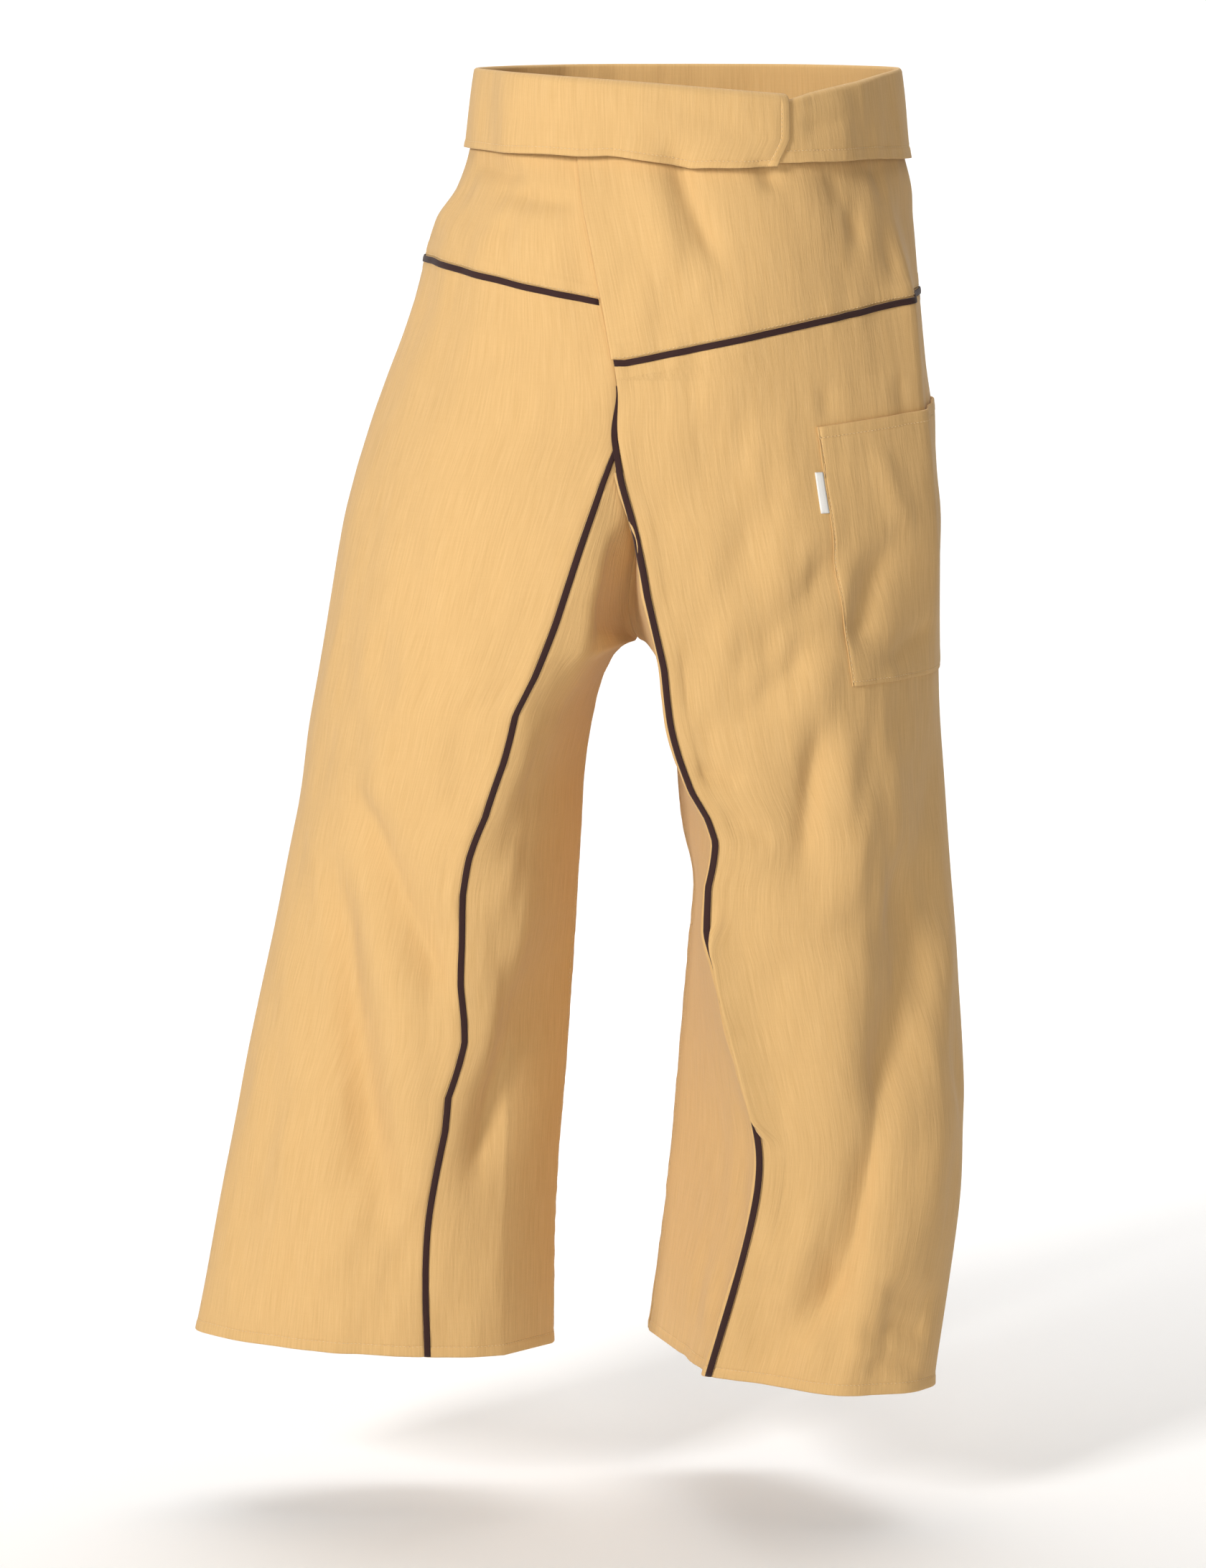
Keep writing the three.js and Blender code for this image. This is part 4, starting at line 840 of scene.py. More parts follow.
def waistband() -> tuple[Array, int]:
    """Points of the waistband: an inner wall, rolled over along the top and turned down as a flap.

    Returns:
        the points, and the first of the columns that lie below the outer flap.
    """
    right_s = column_shares(Side.RIGHT, 0.0)[0][::-1]
    tuck_f, tuck_ply = tuck_plies()
    edge_d, edge_ply = edge_turn()
    left_s = column_shares(Side.LEFT, 0.0)[0][:-1]
    foot_r = outer_point(Side.RIGHT, right_s, -30.0, 0.0, False)
    foot_t = ply_point(tuck_f, tuck_ply * PLY, np.full(len(tuck_f), -30.0))
    foot_e = edge_point(edge_d, edge_ply * PLY, np.full(len(edge_d), -30.0))
    foot_l = outer_point(Side.LEFT, left_s, -30.0, 0.0, False)
    under = np.where(left_s < 0.5, crossover_lift(foot_l[:, 0], np.full(len(left_s), -30.0)), 0)
    room = TIE_ROOM + knot_lift(foot_l)
    flap_r = np.where(right_s < 0.5, mix(TIE_ROOM, FLAP_STACK, smooth(-152, -80, foot_r[:, 0])), TIE_ROOM)
    full = FLAP_STACK / 2
    groups = (
        (lambda z, o: outer_point(Side.RIGHT, right_s[None], z, o), foot_r, np.zeros(len(right_s)), flap_r,
         flap_r / 2),
        (lambda z, o: ply_point(tuck_f[None], o, z), foot_t, tuck_ply * PLY, FLAP_STACK - tuck_ply * PLY,
         np.full(len(tuck_f), full)),
        (lambda z, o: edge_point(edge_d[None], o, z), foot_e, edge_ply * PLY, FLAP_STACK - edge_ply * PLY,
         np.full(len(edge_d), full)),
        (lambda z, o: outer_point(Side.LEFT, left_s[None], z, o), foot_l, under, under + room,
         mix(room / 2, full, under / (2 * PLY))),
    )
    wall_rows = np.linspace(0, 1, 10)[:-1, None]
    turn_rows = np.linspace(0, 1, 11)[:, None]
    near_hem = np.linspace(0.80, 0.92, 9)
    flap_rows = np.concatenate([np.linspace(0, 0.78, 12)[1:], near_hem, [0.94, 0.97, 1.0]])[:, None]
    hem_share = np.where(tuck_ply < 0.3, tuck_f - LAP_HEM_SHARE, -1)
    side_hem = 0.35 * smooth(-0.004, 0.006, hem_share) - 0.45 * np.exp(-((hem_share / 0.005) ** 2))
    parts = []
    for number, (at, foot, inner, flap, roll) in enumerate(groups):
        top = band_top(foot) - roll
        edge = flap_edge(foot)
        if number == 3:
            ahead = foot[:, 1] < 0
            past_lap = np.maximum(foot[:, 0] - LAP_X, 0)
            notch = 1.8 * smooth(LAP_X - 5, LAP_X - 1, foot[:, 0]) * np.exp(-past_lap / 12)
            top = top - np.where(ahead, notch, 0)
            edge = np.where(ahead & (foot[:, 0] < 75), np.maximum(edge, -68.8), edge)
        radius = (flap - inner) / 2
        middle = (flap + inner) / 2
        heights = np.concatenate([
            mix(BAND_SEAM, top, wall_rows), top + 0 * turn_rows, mix(top, edge, flap_rows),
        ])
        turns = np.concatenate([0 * wall_rows, turn_rows, 1 + 0 * flap_rows]) + 0 * top
        belly = np.concatenate([0 * wall_rows, 0 * turn_rows, 0.9 * np.sin(np.pi * flap_rows)]) + 0 * top
        if number == 1:
            belly = belly + side_hem * (turns > 0.9)
        p = at(heights, middle - radius * np.cos(np.pi * turns) + belly)
        p[..., 2] = heights + radius * np.sin(np.pi * turns)
        parts.append(p)
    return np.concatenate(parts, axis=1), sum(part.shape[1] for part in parts[:3])


def waist_tie() -> Array:
    """Points of the tie, between the waistband's inner wall and its flap."""
    right_s = column_shares(Side.RIGHT, 0.0)[0][::-2]
    left_s = column_shares(Side.LEFT, 0.0)[0][2:-1:2]
    rows = np.linspace(0.5, -0.5, 7)[:, None]
    parts = []
    for side, s in ((Side.RIGHT, right_s), (Side.LEFT, left_s)):
        foot = outer_point(side, s, -30.0, 0.0, False)
        if side is Side.RIGHT:
            under = np.where(s < 0.5, 2 * PLY * smooth(0.3, 0.1, s), 0)
        else:
            under = np.where(s < 0.5, crossover_lift(foot[:, 0], np.full(len(s), -30.0)), 0)
        z = band_top(foot) - TIE_BELOW_TOP + rows * TIE_HEIGHT
        parts.append(outer_point(side, s[None], z, under + TIE_ROOM / 2, False))
    return np.concatenate(parts, axis=1)


def middle_of(p: Array) -> Array:
    """The middle of the trunk or of the leg that points lie on."""
    z = p[..., 2]
    right = p[..., 0] < CROTCH[0]
    x = {
        side: (INSEAM[side].at("x", z) + SECTIONS[side].at("outX", z)) / 2 for side in Side
    }
    leg = np.where(right, x[Side.RIGHT], x[Side.LEFT])
    return xyz(np.where(z > CROTCH[2], 0, leg), 0.0, z)


def grid_normals(grid: Array, closed: bool = False) -> Array:
    """Unit normals at the points of a grid, facing out of the garment."""
    wide = np.concatenate([grid, grid[:, :1]], axis=1) if closed else grid
    cross = np.cross(wide[1:, 1:] - wide[:-1, :-1], wide[1:, :-1] - wide[:-1, 1:])
    cross /= length_of(cross)
    total = np.zeros(wide.shape)
    for j in (slice(0, -1), slice(1, None)):
        for i in (slice(0, -1), slice(1, None)):
            total[j, i] += cross
    if closed:
        total[:, 0] += total[:, -1]
        total = total[:, :-1]
    normals = total / length_of(total)
    facing = np.sum(normals * (grid - middle_of(grid)), axis=-1).mean()
    return normals if facing > 0 else -normals


def along_rows(grid: Array, marks: Sequence[float]) -> Array:
    """Values of a grid at distances from its first column, each row followed along the cloth.

    Args:
        grid: points, or points and normals side by side.
        marks: distances in millimetres, the same for each row or one line of them a row.
    Returns:
        rows by marks.
    """
    run = distances_in(grid[..., :3])
    marks = np.broadcast_to(marks, (len(grid), np.shape(marks)[-1]))
    out = np.empty((*marks.shape, grid.shape[2]))
    for j in range(len(grid)):
        for c in range(grid.shape[2]):
            out[j, :, c] = np.interp(marks[j], run[j], grid[j, :, c])
    return out


def strip(grid: Array, distances: Sequence[float], lift) -> Array:
    """A narrow grid that lies on a panel beside its first column.

    Args:
        grid: the panel's points.
        distances: across the strip, from the panel's edge.
        lift: how far it stands out, one number or one for each distance.
    Returns:
        rows by distances.
    """
    both = np.concatenate([grid, grid_normals(grid)], axis=2)
    found = along_rows(both, distances)
    normals = found[..., 3:] / length_of(found[..., 3:])
    return found[..., :3] + normals * np.broadcast_to(lift, (len(distances),))[None, :, None]


def turned(grid: Array) -> Array:
    """A grid with its rows and columns exchanged."""
    return np.swapaxes(grid, 0, 1)


def hemmed(grid: Array, deep: float = HEM) -> Array:
    """A grid whose last row is folded up inside it as a narrow hem."""
    normals = grid_normals(grid)[-1]
    up = grid[-4] - grid[-1]
    up = up / length_of(up)
    edge = grid[-1]
    rows = [
        edge - normals * 0.3 - up * 0.35,
        edge - normals * 0.9 - up * 0.35,
        edge - normals * 1.25,
        edge - normals * 1.25 + up * deep * 0.5,
        edge - normals * 1.25 + up * deep,
    ]
    return np.concatenate([grid, np.stack(rows)], axis=0)


def oriented(grid: Array, edge: str) -> Array:
    """A grid turned so that one edge is its first column: t, b, f or l, for top, bottom, first or last."""
    rows = turned(grid) if edge in "tb" else grid
    return rows[:, ::-1] if edge in "bl" else rows


def restored(rows: Array, edge: str) -> Array:
    """A grid turned back from oriented()."""
    rows = rows[:, ::-1] if edge in "bl" else rows
    return turned(rows) if edge in "tb" else rows


def distances_in(rows: Array) -> Array:
    """Distance of each point of a grid from its first column, along the cloth."""
    run = np.cumsum(length_of(np.diff(rows, axis=1))[..., 0], axis=1)
    return np.concatenate([np.zeros((len(rows), 1)), run], axis=1)


def edged(grid: Array, edges: str, marks: Sequence[float] = SEAM_MARKS) -> Array:
    """A grid with columns at exact distances from its named edges, so that narrow relief shows there.

    Rows that are narrow take them closer together.
    """
    for edge in edges:
        rows = oriented(grid, edge)
        run = distances_in(rows)
        scale = np.minimum(1, run[:, -1:] / (3 * marks[-1]))
        clear = np.where(scale > 1e-4, run / np.maximum(scale, 1e-4), np.inf).min(axis=0) > marks[-1] + 1.5
        near = along_rows(rows, np.array(marks) * scale)
        grid = restored(np.concatenate([near, rows[:, int(np.argmax(clear)):]], axis=1), edge)
    return grid


def relief(grid: Array, edge: str, shape: Callable[[Array, Array], Array], normals: Array) -> Array:
    """Moves that lift a grid by shape(distance in from the edge, distance along it)."""
    rows = oriented(grid, edge)
    along = distances_in(turned(rows[:, :1]))[0][:, None]
    return normals * restored(shape(distances_in(rows), along), edge)[..., None]


def seam_relief(grid: Array, edges: str, closed: bool = False) -> Array:
    """A panel with the dip and the small puckers that sewing leaves along its named edges."""
    def shape(across: Array, along: Array) -> Array:
        """Height at distances in from the edge and along it."""
        pucker = (
            0.30 * np.sin(along / 2.3 + 1.7 * np.sin(along / 31))
            + 0.26 * np.sin(along / 3.7 + 2.1 * np.sin(along / 47) + 1)
            + 0.22 * np.sin(along / 6.1 + 0.6)
        )
        patch = 0.45 + 0.55 * np.sin(along / 67 + 0.4) * np.sin(along / 23)
        reach = 11 + 5 * np.sin(along / 17)
        dip = 0.28 * (1 - smooth(9.3, 10.6, across)) - 0.6 * np.exp(-((across / 2.2) ** 2))
        return dip + pucker * patch * np.exp(-across / reach) * (1 - np.exp(-across / 1.6))

    normals = grid_normals(grid, closed)
    return grid + sum(relief(grid, edge, shape, normals) for edge in edges)


def hem_marks(inset: float) -> tuple[float, ...]:
    """Distances from an edge that a hem's relief needs."""
    before = tuple(inset * share for share in (0, 0.15, 0.4, 0.68))
    return before + tuple(inset + past for past in (-1, -0.4, 0, 0.5, 1.1, 2.2, 4.5))


def hem_relief(grid: Array, edge: str, inset: float, raised: float = 0.45, deep: float = 0.5) -> Array:
    """A panel with doubled cloth along one edge and a groove with small puckers at its stitches."""
    def shape(across: Array, along: Array) -> Array:
        """Height at distances in from the edge and along it."""
        pull = 1 + 0.4 * np.sin(along / 4.1 + 1.3 * np.sin(along / 29)) + 0.3 * np.sin(along / 9.7)
        near = (across - inset) / np.where(across < inset, 1.1, 0.7)
        wave = 0.22 * np.sin(along / 7.3 + 2 * np.sin(along / 41)) * np.exp(-np.abs(across - inset) / 7)
        doubled = raised * (1 - smooth(inset - 0.2, inset + 0.7, across))
        return doubled - deep * pull * np.exp(-near * near) + wave

    return grid + relief(grid, edge, shape, grid_normals(grid))


def rolled_edge(grid: Array) -> Array:
    """The left front with its edge rolled over the piping between knee and shin, as it hangs."""
    run = distances_in(grid)
    z = grid[..., 2]
    high = smooth(-606, -650, z) * smooth(-800, -770, z)
    reach = high * np.exp(-(((run - 6.5) / 5.5) ** 2)) * (1 - np.exp(-((run / 2.4) ** 2)))
    return grid + reach[..., None] * np.array([-11.0, -6.5, 0.0])


@dataclass(frozen=True)
class Finish:
    """A woven finish.

    Attributes:
        color: linear colour on the crowns of the threads, the lit side of the painted weave shade, and in the
            paler slub yarn.
        dark: linear colour in the hollows between threads, painted shade there, and in the darker slub yarn.
        pitch: from one thread to the next, in millimetres.
        weave: height of the threads in millimetres.
        crumple: height of the fine wrinkles in millimetres.
        slub: how much the colour of single threads varies.
        roughness: of the surface.
        sheen: weight of the soft rim light.
        glow: share of light that passes through.
    """

    name: str
    color: tuple[float, float, float]
    dark: tuple[float, float, float]
    pitch: float
    weave: float
    crumple: float
    slub: float
    roughness: float
    sheen: float
    glow: float = 0.0


COTTON = Finish(
    "cotton_slub", color=(0.78, 0.515, 0.23), dark=(0.64, 0.385, 0.14), pitch=0.55, weave=0.11,
    crumple=0.50, slub=0.10, roughness=0.88, sheen=0.14, glow=0.12,
)
THREAD = Finish(
    "cotton_thread", color=(0.80, 0.58, 0.31), dark=(0.60, 0.40, 0.18), pitch=0.30, weave=0.04,
    crumple=0.0, slub=0.05, roughness=0.7, sheen=0.1,
)
BRAID = Finish(
    "piping_weave", color=(0.042, 0.0145, 0.0125), dark=(0.018, 0.006, 0.006), pitch=0.45, weave=0.08,
    crumple=0.15, slub=0.15, roughness=0.8, sheen=0.12,
)
TAPE = Finish(
    "tab_tape", color=(0.86, 0.85, 0.82), dark=(0.70, 0.69, 0.67), pitch=0.25, weave=0.03,
    crumple=0.0, slub=0.03, roughness=0.45, sheen=0.05,
)


class Weave:
    """Builds the node material of a finish, reading the cloth's own UV in metres."""

    def __init__(self, finish: Finish) -> None:
        """Starts an empty material for a finish."""
        self.finish = finish
        self.material = bpy.data.materials.new(finish.name)
        self.material.use_nodes = True
        self.nodes = self.material.node_tree.nodes
        self.links = self.material.node_tree.links
        self.nodes.clear()

    def add(self, kind: str, **values):
        """A node with its properties set by name."""
        node = self.nodes.new(kind)
        for key, value in values.items():
            setattr(node, key, value)
        return node

    def put(self, node, **values) -> None:
        """Sets a node's sockets, named with spaces for underscores."""
        for key, value in values.items():
            socket = node.inputs[key.replace("_", " ")]
            if hasattr(value, "is_linked"):
                self.links.new(value, socket)
            else:
                socket.default_value = value

    def maths(self, operation: str, first, second=0.0):
        """Output of a maths node."""
        node = self.add("ShaderNodeMath", operation=operation)
        for socket, value in zip(node.inputs, (first, second)):
            if hasattr(value, "is_linked"):
                self.links.new(value, socket)
            else:
                socket.default_value = value
        return node.outputs[0]

    def noise(self, vector, scale: float, stretch: tuple[float, ...], detail: float, rough: float = 0.5):
        """Factor of a noise over stretched coordinates."""
        mapping = self.add("ShaderNodeMapping")
        self.put(mapping, Vector=vector, Scale=stretch)
        node = self.add("ShaderNodeTexNoise")
        self.put(node, Vector=mapping.outputs[0], Scale=scale, Detail=detail, Roughness=rough)
        return node.outputs[0]

    def threads(self, vector, direction: str):
        """Bands of the threads that run one way."""
        node = self.add("ShaderNodeTexWave", bands_direction=direction)
        self.put(node, Vector=vector, Scale=0.31416 / (self.finish.pitch * MM), Distortion=0.9, Detail=2.0)
        self.put(node, Detail_Scale=1.3)
        return node.outputs[1]

    def build(self):
        """The finished material."""
        f = self.finish
        place = self.add("ShaderNodeTexCoord")
        flat, solid = place.outputs["UV"], place.outputs["Object"]
        warp, weft = self.threads(flat, "X"), self.threads(flat, "Y")
        slub_v = self.noise(flat, 900.0, (1.0, 0.03, 1.0), 2.0)
        slub_u = self.noise(flat, 900.0, (0.03, 1.0, 1.0), 2.0)
        cloud = self.noise(solid, 9.0, (1.0, 1.0, 1.0), 4.0, 0.6)
        weft = self.maths("MULTIPLY", weft, self.maths("ADD", 0.35, self.maths("MULTIPLY", slub_u, 0.2)))
        threads = self.maths("MAXIMUM", self.maths("MULTIPLY", warp, slub_v), weft)
        slub = self.maths("ADD", self.maths("MULTIPLY", slub_v, 0.8), self.maths("MULTIPLY", slub_u, 0.1))
        # Painted shade of the weave: the colour falls to the finish's dark tone in the hollows between
        # threads and rises to its own colour on their crowns. The slub noise adds the yarn's own uneven tone.
        shade_and_slub = self.maths("ADD", self.maths("MULTIPLY", threads, 1.1), self.maths("MULTIPLY", slub, 0.55))
        blend = self.add("ShaderNodeMix", data_type="RGBA")
        self.links.new(shade_and_slub, blend.inputs[0])
        blend.inputs[6].default_value = (*f.dark, 1)
        blend.inputs[7].default_value = (*f.color, 1)
        uneven = self.maths("MULTIPLY", self.maths("ADD", slub, cloud), f.slub * 0.9)
        light = self.maths("ADD", 1 - f.slub * 0.9, uneven)
        tint = self.add("ShaderNodeHueSaturation")
        self.put(tint, Color=blend.outputs[2], Value=light)
        crinkle_a = self.noise(flat, 120.0, (1.0, 0.11, 1.0), 4.0, 0.62)
        crinkle_b = self.noise(flat, 60.0, (0.5, 1.0, 1.0), 3.0, 0.55)
        broad = self.maths("MULTIPLY", crinkle_b, 0.35)
        crinkle = self.maths("ADD", self.maths("MULTIPLY", crinkle_a, 0.75), broad)
        bump = self.add("ShaderNodeBump")
        self.put(bump, Strength=1.0, Distance=f.crumple * MM * 2.2, Height=crinkle)
        fine = self.add("ShaderNodeBump")
        self.put(fine, Strength=0.8, Distance=f.weave * MM, Height=threads, Normal=bump.outputs[0])
        shader = self.add("ShaderNodeBsdfPrincipled")
        self.put(shader, Base_Color=tint.outputs[0], Roughness=f.roughness, Normal=fine.outputs[0])
        self.put(shader, Sheen_Weight=f.sheen, Sheen_Roughness=0.5, Specular_IOR_Level=0.25)
        surface = shader.outputs[0]
        if f.glow:
            through = self.add("ShaderNodeBsdfTranslucent")
            self.put(through, Color=tint.outputs[0], Normal=fine.outputs[0])
            both = self.add("ShaderNodeMixShader")
            both.inputs[0].default_value = f.glow
            self.links.new(surface, both.inputs[1])
            self.links.new(through.outputs[0], both.inputs[2])
            surface = both.outputs[0]
        out = self.add("ShaderNodeOutputMaterial")
        self.links.new(surface, out.inputs[0])
        return self.material


@dataclass
class Workshop:
    """Makes objects from grids and gives them their materials and their places in the model."""

    materials: dict[str, bpy.types.Material] = field(default_factory=dict)

    def material(self, finish: Finish) -> bpy.types.Material:
        """The material of a finish, made once."""
        if finish.name not in self.materials:
            self.materials[finish.name] = Weave(finish).build()
        return self.materials[finish.name]

    def mesh(self, name: str, points: Array, faces: Array, uv: Array, finish: Finish) -> bpy.types.Object:
        """An object from points in millimetres.

        Args:
            points: one row a vertex.
            faces: vertex numbers, one row a face.
            uv: one pair a vertex, in metres.
        """
        mesh = bpy.data.meshes.new(name)
        mesh.from_pydata((points * MM).tolist(), [], faces.tolist())
        layer = mesh.uv_layers.new(name="cloth")
        loops = np.empty(len(mesh.loops), np.int32)
        mesh.loops.foreach_get("vertex_index", loops)
        layer.data.foreach_set("uv", np.ascontiguousarray(uv[loops], np.float32).ravel())
        mesh.update()
        mesh.validate()
        obj = bpy.data.objects.new(name, mesh)
        bpy.context.scene.collection.objects.link(obj)
        obj.data.materials.append(self.material(finish))
        obj.data.polygons.foreach_set("use_smooth", np.ones(len(mesh.polygons), bool))
        return obj

    def grid(
        self, name: str, grid: Array, thick: float, finish: Finish, closed: bool = False,
    ) -> bpy.types.Object:
        """A sheet of cloth with an even thickness, from a grid of its middle points."""
        rows, columns = grid.shape[:2]
        u = np.cumsum(length_of(np.diff(grid, axis=1))[..., 0], axis=1).mean(axis=0)
        v = np.cumsum(length_of(np.diff(grid, axis=0))[..., 0], axis=0).mean(axis=1)
        u, v = np.concatenate([[0], u]), np.concatenate([[0], v])
        if closed:
            grid = np.concatenate([grid, grid[:, :1]], axis=1)
            u = np.append(u, u[-1] + u[1])
            columns += 1
        j, i = np.meshgrid(np.arange(rows - 1), np.arange(columns - 1), indexing="ij")
        corner = (j * columns + i).ravel()
        faces = np.stack([corner, corner + columns, corner + columns + 1, corner + 1], axis=1)
        uv = np.stack(np.broadcast_arrays(u[None, :], -v[:, None]), -1).reshape(-1, 2) * MM
        obj = self.mesh(name, grid.reshape(-1, 3), faces, uv, finish)
        bpy.context.view_layer.objects.active = obj
        if closed:
            weld = obj.modifiers.new("close", "WELD")
            weld.merge_threshold = 1e-6
            bpy.ops.object.modifier_apply(modifier=weld.name)
        solid = obj.modifiers.new("cloth", "SOLIDIFY")
        solid.thickness = thick * MM
        solid.offset = 0.0
        bpy.ops.object.modifier_apply(modifier=solid.name)
        log.info("%s: %d faces", name, len(obj.data.polygons))
        return obj

    def stitches(
        self, name: str, lines: Sequence[tuple[Array, Array]], pitch: float = 3.1,
    ) -> bpy.types.Object:
        """Rows of single stitches, each a short spindle of thread with its ends pulled into the cloth.

        Args:
            lines: pairs of the points along a row and the normals there.
            pitch: from one stitch to the next in millimetres.
        """
        ring = np.linspace(0, 2 * np.pi, 6, endpoint=False)
        rings = ((0.0, 0.12), (0.22, 1.0), (0.5, 1.15), (0.78, 1.0), (1.0, 0.12))
        points, faces = [], []
        for place, normal in lines:
            run = np.concatenate([[0], np.cumsum(length_of(np.diff(place, axis=0))[:, 0])])
            for start in np.arange(0.6, run[-1] - pitch * 0.8, pitch):
                at = start + np.array([0, 0.74 * pitch])
                a, b = (np.array([np.interp(d, run, place[:, c]) for c in range(3)]) for d in at)
                up = np.array([np.interp(at[0], run, normal[:, c]) for c in range(3)])
                along = (b - a) / length_of(b - a)
                across = np.cross(along, up)
                across /= length_of(across)
                up = np.cross(across, along)
                base = sum(len(block) for block in points)
                block = []
                for share, size in rings:
                    middle = a + (b - a) * share + up * 0.16 * math.sin(math.pi * share)
                    circle = np.cos(ring)[:, None] * across * 0.30 + np.sin(ring)[:, None] * up * 0.24
                    block.append(middle + circle * size)
                points.append(np.concatenate(block))
                for k in range(len(rings) - 1):
                    for i in range(6):
                        n = (i + 1) % 6
                        low, high = base + 6 * k, base + 6 * k + 6
                        faces.append([low + i, low + n, high + n, high + i])
        cloud = np.concatenate(points)
        uv = np.stack([cloud[:, 0], cloud[:, 2]], -1) * MM
        obj = self.mesh(name, cloud, np.array(faces), uv, THREAD)
        log.info("%s: %d stitches", name, len(points))
        return obj

    def place(self, obj: bpy.types.Object, slot: Slot, nodes: Sequence[str] = ()) -> bpy.types.Object:
        """Ties a piece to the frame, in place of the CAD nodes that it stands for."""
        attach(obj, "root")
        if nodes:
            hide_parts(*nodes)
        return obj


@dataclass
class Cut:
    """The flat size of a piece of cloth, in metres, as it is cut."""

    wide: float
    long: float
    area: Optional[float] = None

    def declare(self, obj: bpy.types.Object, held: str, extra: Sequence[bpy.types.Object] = ()) -> None:
        """Does nothing with the object; the cut is kept only as data."""


@dataclass
class Trousers:
    """The whole garment.

    Attributes:
        cuts: flat sizes of the cloth pieces, by node.
    """

    shop: Workshop
    cuts: dict[str, Cut] = field(default_factory=lambda: {
        "yoke_right": Cut(0.72, 0.13),
        "yoke_left": Cut(0.50, 0.14),
        "leg_right": Cut(0.47, 0.80),
        "leg_left": Cut(0.47, 0.80),
        "gusset_front_right": Cut(0.14, 0.69),
        "gusset_front_left": Cut(0.20, 0.68),
        "gusset_back_right": Cut(0.14, 0.66),
        "gusset_back_left": Cut(0.14, 0.66),
        "waistband": Cut(1.15, 0.125),
        "waist_tie": Cut(0.92, 0.024),
        "pocket": Cut(0.172, 0.20),
    })
    stitch_lines: list[tuple[Array, Array]] = field(default_factory=list)

    def sew(self, grid: Array, edge: str, inset: float, lift: float = CLOTH / 2) -> None:
        """Adds a row of stitches on a panel, a distance in from its named edge.

        Args:
            grid: the panel's points.
            edge: t, b, f or l, for the top, bottom, first or last edge.
            inset: from the edge, in millimetres.
            lift: from the middle of the cloth to its surface.
        """
        rows = oriented(grid, edge)
        both = np.concatenate([rows, grid_normals(rows)], axis=2)
        found = along_rows(both, [inset])[:, 0]
        self.stitch_lines.append((found[:, :3] + found[:, 3:] * (lift + 0.02), found[:, 3:]))

    def panel(self, node: str, grid: Array, extra: Sequence[bpy.types.Object] = ()) -> bpy.types.Object:
        """One main panel, in place of its node, with the pieces that are sewn on it."""
        obj = self.shop.grid(node + "_cloth", grid, CLOTH, COTTON)
        self.shop.place(obj, Slot.COTTON, [node])
        self.cuts[node].declare(obj, "hung", extra)
        return obj

    def piping(self, node: str, grid: Array) -> bpy.types.Object:
        """One length of piping, in place of its node."""
        obj = self.shop.grid(node + "_tape", grid, PIPING_THICK, BRAID)
        return self.shop.place(obj, Slot.PIPING, [node])

    def build_legs(self) -> None:
        """The leg panels, gussets, their piping and the stitches on them."""
        self.leg_grids = {side: leg_panel(side) for side in Side}
        for side in Side:
            leg = self.leg_grids[side]
            dressed = rolled_edge(leg) if side is Side.LEFT else leg
            dressed = edged(edged(dressed, "tfl"), "b", hem_marks(HEM))
            shaped = hem_relief(seam_relief(dressed, "tfl"), "b", HEM)
            self.panel(f"leg_{side.value}", hemmed(shaped))
            self.sew(shaped, "b", HEM)
            for face in Face:
                node = f"{face.value}_{side.value}"
                inner = gusset(side, face, leg)
                finer = edged(edged(inner, "b", hem_marks(HEM)), "l", hem_marks(INSEAM_STITCH))
                inner_shaped = hem_relief(seam_relief(finer, "fl"), "b", HEM)
                below = smooth(-440, -470, inner_shaped[..., 2:])
                stitched = hem_relief(inner_shaped, "l", INSEAM_STITCH, 0.2, 0.4)
                inner_shaped = mix(inner_shaped, stitched, below)
                low = int(np.argmin(np.abs(inner_shaped[:, -1, 2] + 450)))
                first = 0 if face is Face.FRONT else int(np.argmin(np.abs(inner[:, 0, 2] - BACK_PIPING_TOP)))
                tape = strip(inner, TAPE_ACROSS, TAPE_CROWN)[first:]
                if side is Side.LEFT and face is Face.FRONT:
                    tape = np.concatenate([self.centre_tape(), tape], axis=0)
                self.panel(f"gusset_{node}", hemmed(inner_shaped), [self.piping(f"leg_piping_{node}", tape)])
                self.sew(inner_shaped, "b", HEM)
                if face is Face.FRONT:
                    self.sew(inner_shaped[low:], "l", INSEAM_STITCH)
        tuck = self.shop.grid("leg_right_tuck", leg_tuck(), CLOTH, COTTON)
        self.shop.place(tuck, Slot.COTTON)

    def centre_tape(self) -> Array:
        """The front piping above the left gusset, where it stands out of the crossing edge."""
        z = divided((-228, -240, -255, -268, -287), 5.0)
        offset = mix(1.5 * PLY, 2 * PLY + CLOTH, smooth(-245, -290, z))
        shown = mix(0.2, 1, smooth(-228, -268, z))
        edge = outer_point(Side.LEFT, 0.0, z, offset)
        return edge[:, None] + xyz(-TAPE_ACROSS[None, :] * shown[:, None], 0.0, 0.0)

    def build_yokes(self) -> None:
        """The yokes, their piping and topstitching."""
        for side, grid in ((Side.RIGHT, yoke_right()), (Side.LEFT, yoke_left())):
            leg = self.leg_grids[side]
            columns = leg.shape[1]
            grid = edged(grid, "b")
            shaped = np.concatenate([grid[:, :-columns], seam_relief(grid[:, -columns:], "b")], axis=1)
            self.sew(shaped[:, -columns:], "b", 1.6)
            tape = strip(turned(leg), TAPE_ACROSS, TAPE_CROWN)
            if side is Side.RIGHT:
                tape = tape[1:]
            self.panel(f"yoke_{side.value}", shaped, [self.piping(f"yoke_piping_{side.value}", tape)])

